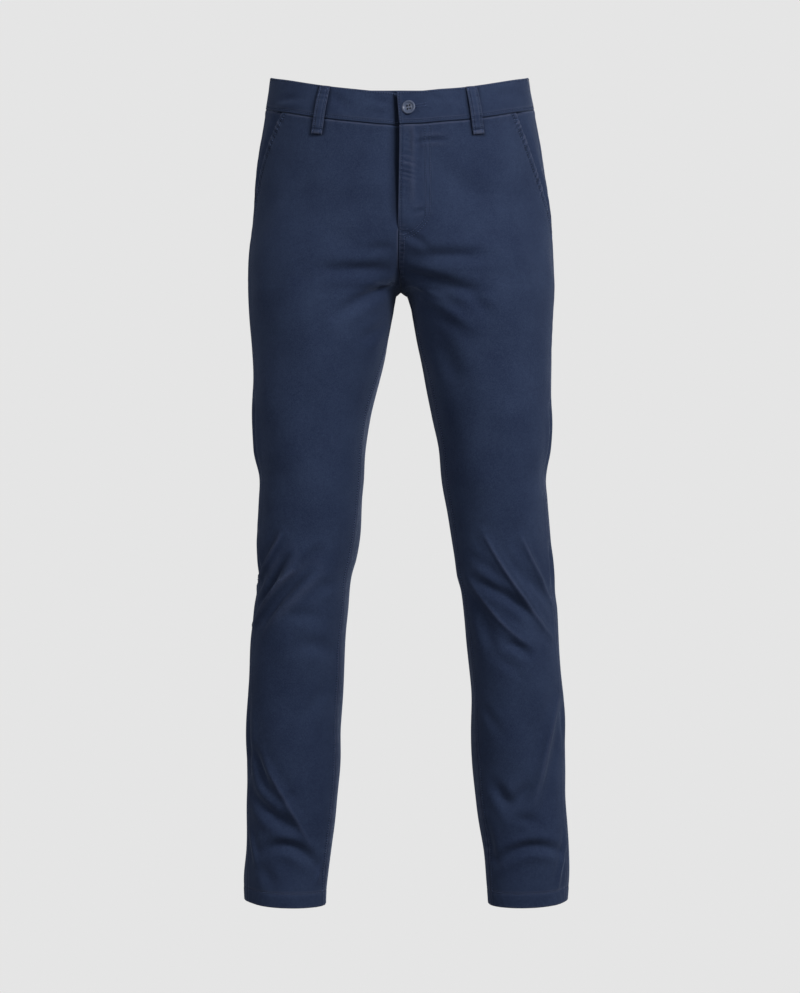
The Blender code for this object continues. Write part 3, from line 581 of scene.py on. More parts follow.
@dataclass
class Drape:
    """How the cloth departs from the smooth form: folds, creases and a faint swell.

    The same point of the form always gets the same lift, so neighbouring pieces meet.
    """

    figure: Figure
    fold_points: int = 9
    shoulder_share: float = 0.4
    shoulder_place: float = 1.75
    end_share: float = 0.25
    seam_still: float = 12
    swell_height: float = 0.72
    swell_waves: int = 14
    seed: int = 11
    _lines: dict = field(default_factory=dict)

    def line_of(self, fold: Fold) -> Array:
        """Points on the smooth form along a fold.

        Args:
            fold: The fold.

        Returns:
            Its points, evenly spread.
        """
        if fold not in self._lines:
            share = np.linspace(0, 1, self.fold_points)
            across = fold.across + (fold.across_end - fold.across) * share
            bow = fold.bow * 4 * share * (1 - share)
            z = fold.z + (fold.z_end - fold.z) * share + bow
            turn = self.figure.turn_at(fold.half, fold.face, across, z)
            self._lines[fold] = self.figure.point(fold.half, turn, z)
        return self._lines[fold]

    def profile(self, fold: Fold, reach: Array) -> Array:
        """A fold's cross-section, 1 high, with low opposite shoulders.

        Args:
            fold: The fold.
            reach: Distances from its line, in its widths.

        Returns:
            The height at each.
        """
        form = np.exp(-(reach**2))
        if fold.sharp:
            form = (1 - fold.sharp) * form + fold.sharp * np.exp(-1.9 * reach)
        return form - self.shoulder_share * np.exp(-((reach - self.shoulder_place) ** 2))

    def push(self, folds: Iterable, half: Half, points: Array) -> Array:
        """How far folds push points of the smooth form out.

        Args:
            folds: The folds; those of the other half are passed over.
            half: The half that the points are on.
            points: Points of the smooth form.

        Returns:
            The lift of each point.
        """
        flat = points.reshape(-1, 3)
        total = np.zeros(len(flat))
        for fold in folds:
            if fold.half is not half:
                continue
            line = self.line_of(fold)
            reach = 3.4 * fold.width
            inside = (flat > line.min(0) - reach) & (flat < line.max(0) + reach)
            near = np.flatnonzero(inside.all(axis=1))
            here = flat[near]
            nearest = np.full(len(near), np.inf)
            place = np.zeros(len(near))
            for step, (start, end) in enumerate(zip(line, line[1:])):
                gap, share = gap_to_run(here, start, end)
                closer = gap < nearest
                nearest = np.where(closer, gap, nearest)
                place = np.where(closer, (step + share) / (self.fold_points - 1), place)
            fade = self.end_share + (1 - self.end_share) * np.sin(np.pi * place)
            total[near] += fold.depth * fade * self.profile(fold, nearest / fold.width)
        return total.reshape(points.shape[:-1])

    def swell(self, points: Array) -> Array:
        """The faint unevenness of hanging cloth: a few long waves in many directions.

        Args:
            points: Points of the smooth form.

        Returns:
            The lift of each.
        """
        chance = np.random.default_rng(self.seed)
        total = np.zeros(points.shape[:-1])
        for _ in range(self.swell_waves):
            way = unit(chance.normal(size=3) * (1, 1, 0.8))
            length = chance.uniform(38, 150)
            phase = chance.uniform(0, 2 * np.pi)
            height = self.swell_height * (length / 150) ** 1.2
            total += height * np.sin(points @ way * (2 * np.pi / length) + phase)
        below_band = ease((-points[..., 2] - 30) / 70)
        return total * below_band

    def wear_and_painted_light(self, half: Half, points: Array) -> Array:
        """How far the sharpest creases are painted paler on crests, partly for wear and partly as highlight,
        and darker in troughs with painted shade.
        """
        sharpest = [fold for fold in FINE_FOLDS if fold.sharp > 0.6]
        return np.clip(self.push(sharpest, half, points), -1, 1)

    def lift(self, half: Half, points: Array) -> Array:
        """The whole lift of a leg panel's points, held still beside the centre seam.

        Args:
            half: The half that they are on.
            points: Points of the smooth form.

        Returns:
            The lifts.
        """
        total = self.push(MAIN_FOLDS, half, points) + self.push(FINE_FOLDS, half, points)
        total += self.swell(points)
        above_fork = ease((points[..., 2] - self.figure.fork) / self.seam_still)
        still = ease(np.abs(points[..., 0] - self.figure.seam_x) / self.seam_still)
        return total * (1 - above_fork * (1 - still))


@dataclass
class Shell:
    """A thin closed piece of cloth between two grids of points, rows by columns."""

    node: str  # the solid that it stands for
    outer: Array
    inner: Array
    across: Array  # the place of each point on the flat cut
    down: Array
    rub: Array  # 1 where it is painted paler, partly for wear and partly as painted highlight; -1 where painted shade darkens it

    def lay(self, finish: "Finish") -> Object:
        """The shell as the object that replaces its solid, with its flat cut as a UV map in metres.

        Args:
            finish: What the shell is made of.

        Returns:
            The linked object.
        """
        name = f"{self.node}_cloth"
        rows, columns = self.outer.shape[:2]
        index = np.arange(rows * columns).reshape(rows, columns)
        corners = (index[:-1, :-1], index[1:, :-1], index[1:, 1:], index[:-1, 1:])
        skin = np.stack(corners, -1).reshape(-1, 4)
        edge = np.concatenate((index[0, :-1], index[:-1, -1], index[-1, :0:-1], index[:0:-1, 0]))
        following = np.roll(edge, -1)
        under = rows * columns
        rim = np.stack((edge, following, following + under, edge + under), -1)
        faces = np.concatenate((skin, skin[:, ::-1] + under, rim))
        points = np.concatenate((self.outer.reshape(-1, 3), self.inner.reshape(-1, 3))) * MM
        mesh = bpy.data.meshes.new(name)
        mesh.from_pydata(points.tolist(), [], faces.tolist())
        body = bmesh.new()
        body.from_mesh(mesh)
        bmesh.ops.recalc_face_normals(body, faces=body.faces)
        body.to_mesh(mesh)
        body.free()
        flat = np.stack((self.across, self.down), -1).reshape(-1, 2) * MM
        corner = np.zeros(len(mesh.loops), np.int32)
        mesh.loops.foreach_get("vertex_index", corner)
        cut = mesh.uv_layers.new(name="cut")
        cut.data.foreach_set("uv", flat[corner % under].astype(np.float32).ravel())
        # The mark of painted wear, highlight and shade that the twill's colour reads
        rub = mesh.attributes.new("rub", "FLOAT", "POINT")
        both = np.tile(np.clip(self.rub, -1, 1).ravel(), 2)
        rub.data.foreach_set("value", both.astype(np.float32))
        mesh.shade_smooth()
        piece = add_piece(name, mesh, finish)
        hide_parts(self.node)
        sizes = area_of(self.outer), np.ptp(self.across), np.ptp(self.down)
        LOG.info("%s: %.5f square metres, %.0f by %.0f mm", piece.name, *sizes)
        return piece


def linked(name: str, data: ID) -> Object:
    """A new object of some data, linked to the scene.

    Args:
        name: The object's name.
        data: Its mesh, light or camera.

    Returns:
        The object.
    """
    made = bpy.data.objects.new(name, data)
    bpy.context.scene.collection.objects.link(made)
    return made


def turned(name: str, outline: Iterable, steps: int, merge: float) -> Mesh:
    """A profile turned round Z.

    Args:
        name: The mesh's name.
        outline: The profile as radius and height, in metres.
        steps: How many steps a turn has.
        merge: How near points have to be to become one.

    Returns:
        The mesh, with its faces pointing out.
    """
    body = bmesh.new()
    line = [body.verts.new((radius, 0, height)) for radius, height in outline]
    edges = [body.edges.new(pair) for pair in zip(line, line[1:])]
    turn = {"cent": (0, 0, 0), "axis": (0, 0, 1), "angle": 2 * np.pi, "steps": steps}
    bmesh.ops.spin(body, geom=line + edges, **turn)
    bmesh.ops.remove_doubles(body, verts=body.verts, dist=merge)
    bmesh.ops.recalc_face_normals(body, faces=body.faces)
    mesh = bpy.data.meshes.new(name)
    body.to_mesh(mesh)
    body.free()
    return mesh


def add_piece(name: str, mesh: Mesh, finish: "Finish") -> Object:
    """A linked object of a mesh in one finish, riding on the body.

    Args:
        name: The object's name.
        mesh: Its mesh.
        finish: What it is made of.

    Returns:
        The object.
    """
    piece = linked(name, mesh)
    mesh.materials.clear()
    mesh.materials.append(finish.material())
    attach(piece, BODY)
    return piece


def normals_of(points: Array, towards: Array) -> Array:
    """A grid's normals, on the side that towards points to.

    Args:
        points: The grid.
        towards: Roughly the way out at each point.

    Returns:
        The normals.
    """
    down = np.gradient(points, axis=0)
    across = np.gradient(points, axis=1)
    normal = unit(np.cross(down, across))
    sign = np.sign(np.sum(normal * towards, axis=-1, keepdims=True))
    return normal * np.where(sign == 0, 1, sign)


def rounded(corners: list, passes: int = 2) -> Array:
    """A line of corners, as x and z, with each corner cut off again and again.

    Args:
        corners: The corners.
        passes: How often they are cut off.

    Returns:
        The smoother line.
    """
    line = np.array(corners, float)
    for _ in range(passes):
        early = 0.75 * line[:-1] + 0.25 * line[1:]
        late = 0.25 * line[:-1] + 0.75 * line[1:]
        cut = np.stack((early, late), 1).reshape(-1, 2)
        line = np.concatenate((line[:1], cut, line[-1:]))
    return line


def shortened(line: Array, cut: float) -> Array:
    """A line with as much cut off at each end.

    Args:
        line: The line's points.
        cut: The length to cut off.

    Returns:
        As many points along what is left.
    """
    length = lengths_along(line)
    places = np.linspace(cut, length[-1] - cut, len(line))
    return np.stack([np.interp(places, length, line[:, axis]) for axis in range(3)], -1)


def area_of(points: Array) -> float:
    """The area of a grid, in square metres.

    Args:
        points: The grid, in millimetres.

    Returns:
        The area.
    """
    one = np.cross(points[1:, :-1] - points[:-1, :-1], points[:-1, 1:] - points[:-1, :-1])
    other = np.cross(points[1:, :-1] - points[1:, 1:], points[:-1, 1:] - points[1:, 1:])
    return float(np.linalg.norm(one, axis=-1).sum() + np.linalg.norm(other, axis=-1).sum()) / 2e6


def on_cloth(outer: Array, line: Array, over: float = OVER) -> Array:
    """Points just in front of a grid of cloth, straight behind the x and z of a line.

    Args:
        outer: The cloth's outer face.
        line: The corners of the line, as x and z.
        over: How far the points stand before the cloth.

    Returns:
        Points about 1.5 apart.
    """
    rows, columns = outer.shape[:2]
    index = np.arange(rows * columns).reshape(rows, columns)
    faces = np.stack((index[:-1, :-1], index[1:, :-1], index[1:, 1:], index[:-1, 1:]), -1)
    tree = BVHTree.FromPolygons(outer.reshape(-1, 3).tolist(), faces.reshape(-1, 4).tolist())
    length = lengths_along(line)
    places = np.linspace(0, length[-1], max(round(length[-1] / 1.5), 1) + 1)
    x, z = (np.interp(places, length, line[:, axis]) for axis in (0, 1))
    found = [tree.ray_cast(Vector((a, -400, b)), Vector((0, 1, 0)))[0] for a, b in zip(x, z)]
    return np.array([(point.x, point.y - over, point.z) for point in found if point])


SEAM_EDGE = (0.05, 0.5, 1.1, 2.0, 3.3, 5.0, 7.4, 10.5)
WAIST_EDGE = (0.1, 0.5, 1.1, 2.0, 3.3, 5.0, 7.4)
HEM_EDGE = (0, 0.35, 0.9, 1.7, 3.0, 5.0, 8.0, 11.0, 14.0, 16.2, 17.2, 17.8, 18.4, 19.4, 21.5, 24.0)


@dataclass
class Grid:
    """The points of a panel, rows by columns, and how far each lies from the panel's edges."""

    turn: Array
    z: Array
    from_centre: Array
    from_side: Array
    below_waist: Array
    above_hem: Array


@dataclass(frozen=True)
class Gather:
    """The uneven puckers beside a seam: how they run along it, their height and their reach."""

    pitch: float
    phase: float
    height: float
    reach: float

    def wave(self, along: Array) -> Array:
        """The ripple along the seam, about 1 high and deep."""
        return ripple(along, self.pitch, self.phase)


@dataclass
class Wall:
    """A wall's sewn relief, rounded edges and thickness, point by point."""

    relief: Array
    lowered: Array  # the outer face, turned down at an edge
    raised: Array  # the inner face, turned up at a folded edge
    thickness: Array
    rub: Array

    @classmethod
    def plain(cls, shape: tuple, thickness: float) -> "Wall":
        """A wall of one thickness with nothing sewn."""
        return cls(*(np.zeros(shape) for _ in range(3)), np.full(shape, thickness), np.zeros(shape))

    def faces(self, points: Array, way: Array) -> tuple:
        """The wall's two faces.

        Args:
            points: The points that the outer face lies at where nothing is sewn.
            way: The outward direction at each.

        Returns:
            The points of the outer face, and of the inner one.
        """
        outer = points + way * (self.relief - self.lowered)[..., None]
        return outer, points + way * (self.relief - self.thickness + self.raised)[..., None]

    def fold_edge(self, distance: Array, where: Array, radius: float = 1.4) -> None:
        """Rounds both faces of the wall at a folded edge, and paints the edge paler, partly for wear and
        partly as a painted highlight.

        Args:
            distance: How far each point lies from the edge.
            where: The share to which the edge is folded there.
            radius: How far from the edge the rounding starts.
        """
        edge = roll(distance, radius, 1.0) * where * (self.thickness / 2 - 0.08)
        self.lowered = np.maximum(self.lowered, edge)
        self.raised = np.maximum(self.raised, edge)
        # Paler edge: partly wear, partly painted highlight
        self.rub += 0.7 * bump(distance - 0.7, 1.1) * where

    def seam_edge(self, distance: Array, where: Array | float = 1.0) -> None:
        """Turns the outer face down into a seam, between low welts, with painted shade in the seam and a
        paler line on the welt, partly wear and partly painted highlight.

        Args:
            distance: How far each point lies from the seam.
            where: The share to which it is sewn there.
        """
        self.lowered = np.maximum(self.lowered, roll(distance - 0.1, 1.0, 0.75) * where)
        welt = 0.5 * (1 - ease((distance - 6.0) / 2.5))
        self.relief += where * (welt - 0.45 * bump(distance, 1.1))
        # Painted shade in the seam, paler welt for wear and painted highlight
        self.rub += (0.9 * bump(distance - 1.6, 0.9) - 0.9 * bump(distance, 0.6)) * where

    def stitch_row(self, distance: Array, where: Array | float = 1.0, shade: float = 1.1) -> None:
        """Draws the cloth in under a row of stitches, with painted shade along the row and a paler line
        beside it, partly wear and partly painted highlight.

        Args:
            distance: How far each point lies from the row.
            where: The share to which it is drawn in there.
            shade: How much painted shade darkens the row; below 0 the row is painted paler.
        """
        self.relief -= 0.5 * bump(distance, 1.1) * where
        # Painted shade along the row, a paler shoulder for wear and painted highlight
        self.rub += (0.4 * bump(distance - 1.8, 0.8) - shade * bump(distance, 0.9)) * where

    def pucker(self, distance: Array, along: Array, gather: Gather, where: Array | float = 1.0) -> None:
        """Gathers the cloth beside a seam, painting the crests paler, partly for wear and partly as
        highlight, and the hollows darker with painted shade.

        Args:
            distance: How far each point lies from the seam.
            along: How far along the seam it lies.
            gather: The puckers' sizes.
            where: The share to which the cloth is gathered there.
        """
        wave = gather.height * (gather.wave(along) * where) * bump(distance, gather.reach)
        self.relief += wave
        # Painted highlight and wear on the crests, painted shade in the hollows
        self.rub += wave


@dataclass
class LegPanel:
    """The front or back of one leg: a wall of cloth from the waist seam to the turned-up hem."""

    figure: Figure
    drape: Drape
    half: Half
    side: Side
    columns: int
    rows_above_fork: int = 120
    rows_below_fork: int = 300
    samples: int = 160
    cloth: float = 1.1
    hem_cloth: float = 2.3
    hem_depth: float = 17.8
    seam_allowance: float = 0.6  # how far the inner face runs on past a seam, so that it is closed
    crest_rub: float = 0.42
    inseam_stitch: float = 4.6
    waist_gather: Gather = Gather(15, 0.4, 0.22, 9)
    hem_gather: Gather = Gather(9.5, 1.1, 0.24, 34)
    inseam_gather: Gather = Gather(16, 2.2, 0.3, 8)
    outseam_gather: Gather = Gather(21, 0.7, 0.24, 8)
    outseam_shade_spots: tuple = ((-424, 34), (-575, 28), (-800, 38))  # where painted shade darkens the drawn-in outseam, and how far it reaches
    outer: Array = None
    normal: Array = None
    grid: Grid = None

    @property
    def node(self) -> str:
        """The name of the solid that the panel stands for."""
        return f"{self.side.name}_{self.half.name}".lower()

    def side_turn(self, z: Array) -> Array:
        """Turn of the panel's outer edge."""
        return self.figure.outseam(z)

    def row_ends(self) -> tuple:
        """Heights of every row at the centre seam or inseam, and at the outseam.

        Returns:
            The two rows of heights, from the waist down.
        """
        figure = self.figure
        top = float(figure.waist_seam(self.side * 90))
        z = figure.fork + (top - figure.fork) * np.linspace(1, 0, 600) ** 2
        seam = figure.point(Half.RIGHT, figure.centre(self.side, z), z)
        length = lengths_along(seam)
        upper = stations(length[-1], WAIST_EDGE, (0,), self.rows_above_fork)
        upper_centre = np.interp(upper, length, z)
        top = float(figure.waist_seam(figure.outseam(0)))
        run = top - figure.side_of_fork
        upper_side = top - stations(run, WAIST_EDGE, (0,), self.rows_above_fork)
        run = figure.side_of_fork - figure.hem - figure.outer_hem_rise
        steps = stations(run, (0,), HEM_EDGE, self.rows_below_fork + 1)[1:]
        below = figure.side_of_fork - steps
        level = ease((figure.side_of_fork - below) / figure.fork_row_run)
        drop = (figure.side_of_fork - figure.fork) * (1 - level)
        near_hem = ease((figure.hem + figure.inner_hem_run - below) / figure.inner_hem_run)
        drop += figure.inner_hem_drop * near_hem
        return np.append(upper_centre, below - drop), np.append(upper_side, below)

    def lay_out(self) -> Grid:
        """The panel's points: rows between the two ends, columns evenly spaced along each row.

        Returns:
            The grid.
        """
        figure = self.figure
        at_centre, at_side = self.row_ends()
        start = figure.centre(self.side, at_centre)
        start[self.rows_above_fork - 1] = self.side * 180
        end = self.side_turn(at_side)
        share = np.linspace(0, 1, self.samples)[None]
        turn = start[:, None] + (end - start)[:, None] * share
        z = at_centre[:, None] + (at_side - at_centre)[:, None] * share**2
        down = (at_side[0] - at_side) / (at_side[0] - figure.side_of_fork)
        z = z + (1 - ease(down))[:, None] * (figure.waist_seam(turn) - z[:1])
        points = figure.point(self.half, turn, z)
        steps = np.linalg.norm(np.diff(points, axis=1), axis=-1)
        length = np.pad(np.cumsum(steps, axis=1), ((0, 0), (1, 0)))
        from_centre = stations(length[:, -1], SEAM_EDGE, SEAM_EDGE, self.columns)
        rows = range(len(turn))
        turn = np.stack([np.interp(from_centre[i], length[i], turn[i]) for i in rows])
        z = np.stack([np.interp(from_centre[i], length[i], z[i]) for i in rows])
        from_side = length[:, -1:] - from_centre
        below_waist = figure.waist_seam(turn) - z
        return Grid(turn, z, from_centre, from_side, below_waist, z - z[-1:])

    def laid_over(self, points: Array, outward: Array) -> Array:
        """The points after what is special to the panel's own edges."""
        return points

    def sewn(self) -> Wall:
        """The relief of the seams and the hem.

        Returns:
            The wall.
        """
        grid = self.grid
        wall = Wall.plain(grid.z.shape, self.cloth)
        wall.thickness += (self.hem_cloth - self.cloth) * ease((self.hem_depth + 0.8 - grid.above_hem) / 1.4)
        wall.seam_edge(grid.below_waist)
        along = grid.from_centre + 40 * int(self.half)
        wall.pucker(grid.below_waist, along, self.waist_gather)
        wall.stitch_row(grid.above_hem - self.hem_depth, 1.0, -0.5)
        on_hem = ease((self.hem_depth - grid.above_hem) / 4)
        slant = along + 0.45 * grid.above_hem
        reach = self.hem_gather.reach
        near_seams = 0.45 + bump(grid.from_centre, reach) + bump(grid.from_side, reach)
        wall.relief += on_hem * (0.3 + self.hem_gather.height * near_seams * self.hem_gather.wave(slant))
        wall.fold_edge(grid.above_hem, 1.0)
        return wall

    def seam_puckers(self, wall: Wall) -> None:
        """The faint gathers along the seams below the fork.

        Args:
            wall: Takes the gathers.
        """
        grid = self.grid
        down = self.figure.fork - grid.z[:, :1]
        below_fork = ease(down / 30)
        calf = 1 + 0.9 * bump(grid.z[:, :1] + 885, 60)
        wall.pucker(grid.from_centre, grid.z[:, :1], self.inseam_gather, below_fork * calf)
        wall.pucker(grid.from_side, grid.z[:, -1:], self.outseam_gather)
        # Painted shade in the valley beside the drawn-in outseam
        drawn = sum(bump(grid.z[:, -1:] - place, reach) for place, reach in self.outseam_shade_spots)
        wall.rub -= 1.2 * np.clip(drawn, 0, 1) * bump(grid.from_side, 2.0)
        if self.side is Side.FRONT:
            wall.stitch_row(grid.from_centre - self.inseam_stitch, below_fork, 0.5)

    def build(self) -> Shell:
        """The panel's cloth as a shell that stands for its solid.

        Returns:
            The shell.
        """
        self.grid = self.lay_out()
        grid, figure = self.grid, self.figure
        smooth = figure.point(self.half, grid.turn, grid.z)
        outward = figure.outward(self.half, grid.turn, grid.z)
        points = smooth + outward * self.drape.lift(self.half, smooth)[..., None]
        above = slice(None, self.rows_above_fork)
        away = int(self.half) * (points[above, :, 0] - figure.seam_x)
        points[above, :, 0] = figure.seam_x + int(self.half) * np.maximum(away, 0.01)
        points = self.laid_over(points, outward)
        wall = self.sewn()
        # Painted highlight on the sharp crests, partly wear, and painted shade in their troughs
        wall.rub += self.crest_rub * self.drape.wear_and_painted_light(self.half, smooth)
        # Painted shadow beside the belt loops
        wall.rub -= loops_painted_shadow(figure, smooth)
        self.normal = normals_of(points, outward)
        way = self.normal.copy()
        way[above, :, 0] *= ease(grid.from_centre[above] / 9 - 0.1)
        self.outer, inner = wall.faces(points, way)
        run_on = self.seam_allowance + 2.2 * bump(grid.z[:, :1] - figure.fork, 7)
        for edge, beside in ((0, 1), (-1, -2)):
            inner[:, edge] += run_on * unit(inner[:, edge] - inner[:, beside])
        down = grid.z[:1].mean() - grid.z
        across = grid.from_centre - grid.from_centre.mean()
        return Shell(self.node, self.outer, inner, across, down, wall.rub)

    def inset_line(self, gap: Array, inset: float, rows: slice) -> Array:
        """A line just over the cloth, at one distance from an edge.

        Args:
            gap: How far each point lies from that edge.
            inset: The line's distance from the edge.
            rows: The rows that it runs over.

        Returns:
            One point for each row.
        """
        line = []
        raised = self.outer + self.normal * OVER
        for gaps, points in zip(gap[rows], raised[rows]):
            order = np.argsort(gaps)
            line.append([np.interp(inset, gaps[order], points[order, axis]) for axis in range(3)])
        return np.array(line)

    def rows_between(self, high: float, low: float) -> slice:
        """The rows whose seam end lies between two heights.

        Args:
            high: The upper height.
            low: The lower one.

        Returns:
            The rows.
        """
        at_centre = self.grid.z[:, 0]
        inside = np.flatnonzero((at_centre < high) & (at_centre > low))
        return slice(inside[0], inside[-1] + 1)

    def sew(self, sewing: "Sewing") -> None:
        """Puts the stitches of the hem and of the inseam on the sewing.

        Args:
            sewing: Takes the stitches.
        """
        hem_row = len(self.outer) - 1 - HEM_EDGE.index(self.hem_depth)
        sewing.row((self.outer[hem_row] + self.normal[hem_row] * OVER)[1:-1])
        if self.side is Side.FRONT:
            rows = slice(self.rows_above_fork + 4, hem_row - 1)
            sewing.row(self.inset_line(self.grid.from_centre, self.inseam_stitch, rows))


@dataclass
class BackPanel(LegPanel):
    """A back: seat, inseam, outseam and hem."""

    side: Side = Side.BACK
    columns: int = 104
    seat_stitch: float = 6.0
    seat_gather: Gather = Gather(13, 0.9, 0.25, 7)

    def sewn(self) -> Wall:
        """The relief of a back's seams.

        Returns:
            The wall.
        """
        wall = super().sewn()
        wall.seam_edge(self.grid.from_centre)
        wall.seam_edge(self.grid.from_side)
        self.seam_puckers(wall)
        seat = ease((self.grid.z[:, :1] - self.figure.fork - 20) / 40)
        wall.pucker(self.grid.from_centre, self.grid.z[:, :1], self.seat_gather, seat)
        wall.stitch_row(self.grid.from_centre - self.seat_stitch, seat)
        return wall

    def sew(self, sewing: "Sewing") -> None:
        """The hem's stitches, and the row beside the seat seam.

        Args:
            sewing: Takes the stitches.
        """
        super().sew(sewing)
        rows = slice(4, self.rows_above_fork - 12)
        sewing.row(self.inset_line(self.grid.from_centre, self.seat_stitch, rows))


@dataclass
class FrontPanel(LegPanel):
    """A front: the slant pocket's mouth at its side, and one edge of the fly."""

    side: Side = Side.FRONT
    columns: int = 92
    mouth_cloth: float = 1.9
    mouth_stitch: float = 7.6
    fly_end: float = -174
    fly_lift: float = 3.0
    fly_lap: float = 1.4
    fly_lean: float = 1.4
    fly_width: float = 38
    fly_stitch: float = 2.3
    fly_under: float = 5.0
    lift_drop: float = 60
    aside: float = 2.8
    crotch_rows: tuple = (1.7, 7.6)
    mouth_gather: Gather = Gather(6.6, 0.2, 0.6, 6)
    fly_gather: Gather = Gather(7.5, 1.3, 0.85, 9)
    fly_edge_gather: Gather = Gather(10, 0.5, 0.2, 6)
    fly_gathers_z: float = -92
    fly_gathers_run: float = 26
    rung_pitch: float = 5.3

    def seam_aside(self, grid: Grid) -> Array:
        """How far the seam between the fly and the fork runs to the right of the middle."""
        above_fork = ease((grid.z - self.figure.fork - 4) / 24)
        return self.aside * above_fork * (1 - ease(grid.from_centre / 30))

    def side_turn(self, z: Array) -> Array:
        """Turn of the pocket's edge and, below it, of the outseam."""
        return self.figure.mouth(self.half, z)

    def on_fly(self) -> Array:
        """1 beside the fly, falling to 0 at its end."""
        return ease((self.grid.z - self.fly_end + 3) / 14)

    def on_mouth(self) -> Array:
        """1 along the pocket's mouth, falling to 0 at its end."""
        return ease((self.grid.z[:, -1:] - MOUTHS[self.half].end - 2) / 6)

    def laid_over(self, points: Array, outward: Array) -> Array:
        """The left front lifted over the right one, whose edge is tucked under.

        Args:
            points: The panel's points.
            outward: The way out at each.

        Returns:
            The moved points.
        """
        grid, figure, fly = self.grid, self.figure, self.on_fly()
        points = points.copy()
        if self.half is Half.RIGHT:
            deep = fly * (0.3 + 0.7 * ease((grid.z - self.fly_end + 4) / 90))
            points -= outward * (figure.tuck(grid.from_centre) * deep)[..., None]
            points[..., 0] += self.fly_under * (1 - ease(grid.from_centre / 9)) * fly
            points[..., 0] -= self.seam_aside(grid) * (1 - fly)
            return points
        x = points[..., 0]
        with_fly = self.fly_lift * (1 - ease((x - figure.seam_x) / self.fly_width)) * fly
        below = ease(grid.below_waist / self.lift_drop)
        with_band = figure.left_end_lift(x) * (1 - below)
        lift = softer_max(with_fly, with_band) - 0.2
        points += outward * np.maximum(lift, 0)[..., None]
        lap = self.fly_lap + self.fly_lean * ease((-50 - grid.z) / 120)
        points[..., 0] -= lap * (1 - ease(grid.from_centre / 10)) * fly
        points[..., 0] -= self.seam_aside(grid) * (1 - fly)
        return points

    def sewn(self) -> Wall:
        """The relief of a front's seams, pocket mouth and fly.

        Returns:
            The wall.
        """
        wall = super().sewn()
        grid, mouth, fly = self.grid, self.on_mouth(), self.on_fly()
        edge = 1 - ease((grid.from_side - self.mouth_stitch - 0.4) / 1.2)
        mouth_foot = bump(grid.z[:, -1:] - MOUTHS[self.half].end - 32, 34)
        wall.thickness += (self.mouth_cloth - self.cloth) * edge * mouth
        wall.seam_edge(grid.from_side, 1 - mouth)
        wall.fold_edge(grid.from_side - 0.15, mouth)
        wall.stitch_row(grid.from_side - self.mouth_stitch, mouth)
        along = grid.z[:, -1:] + 0.4 * grid.from_side
        wave = self.mouth_gather.wave(along) * (1 + 0.5 * mouth_foot)
        wall.relief += edge * mouth * (0.4 + 0.75 * wave)
        # Painted highlight and wear on the mouth's puckered crests, painted shade in its hollows
        wall.rub += 1.3 * edge * mouth * wave
        drawn = (1 + 0.5 * mouth_foot) * mouth
        wall.pucker(grid.from_side - self.mouth_stitch, along, self.mouth_gather, drawn)
        self.seam_puckers(wall)
        if self.half is Half.RIGHT:
            wall.seam_edge(grid.from_centre, 1 - fly)
            # Painted shadow on the right front where it dips under the lapped fly
            wall.rub -= 1.6 * bump(grid.from_centre, 10.5) * fly * ease((grid.z - self.fly_end) / 30)
            return wall
        wall.seam_edge(grid.from_centre, 1 - fly)
        wall.thickness += 0.7 * fly * (1 - ease((grid.from_centre - 3) / 2))
        wall.fold_edge(grid.from_centre - 0.15, fly)
        wall.stitch_row(grid.from_centre - self.fly_stitch, fly)
        gathers = bump(grid.z - self.fly_gathers_z, self.fly_gathers_run)
        gathers = gathers * bump(grid.from_centre - 8, self.fly_gather.reach)
        wave = fly * gathers * self.fly_gather.wave(grid.z + 0.3 * grid.from_centre)
        wall.relief += self.fly_gather.height * wave
        # Painted highlight and wear on the gathers' crests, painted shade in their hollows
        wall.rub += 0.9 * wave
        # Painted highlight along the ridge beside the fly's edge, partly wear
        wall.rub += 0.35 * fly * bump(grid.from_centre - 14, 3.6) * ease((grid.z + 150) / 20)
        wall.pucker(grid.from_centre, grid.z, self.fly_edge_gather, fly)
        wall.stitch_row(self.gap_to_stitches(grid), 0.4)
        between = bump(grid.from_centre - 4.6, 2.6) * (1 - fly) * ease((grid.z - self.figure.fork - 6) / 8)
        rungs = 1.3 * np.sin(grid.z * (2 * np.pi / self.rung_pitch))
        wall.relief += 0.3 * between * rungs
        # Painted highlight and shade on the ladder of puckers over the seam below the fly
        wall.rub += 0.9 * between * np.maximum(rungs, -0.4)
        return wall

    def fly_rows(self) -> tuple:
        """The two rows of stitches that hold the fly, as x and z, from the waist to its end.

        Returns:
            The outer row and the inner one.
        """
        outer = [(36.4, -46), (36.9, -90), (37.3, -141), (36.6, -154.5), (33.8, -163.4), (30.7, -167.6)]
        outer += [(27.2, -171), (22, -177), (15.7, -181.2), (11, -182.7), (5.4, -183.8)]
        inner = [(30.4, -46), (30.8, -90), (31.3, -135), (31.6, -152), (31, -159), (28.9, -163.2)]
        inner += [(24.9, -166.6), (20.2, -171.8), (15.7, -175.8), (10, -178.3), (4.5, -179.6)]
        return rounded(outer), rounded(inner)

    def gap_to_stitches(self, grid: Grid) -> Array:
        """How far each point lies from the nearer of the fly's rows, seen from the front.

        Args:
            grid: The panel's points.

        Returns:
            The distances.
        """
        smooth = self.figure.point(self.half, grid.turn, grid.z)
        seen = smooth[..., (0, 2)]
        nearest = np.full(seen.shape[:-1], FAR)
        for line in self.fly_rows():
            for start, end in zip(line, line[1:]):
                nearest = np.minimum(nearest, gap_to_run(seen, start, end)[0])
        return np.where(smooth[..., 1] < 0, nearest, FAR)

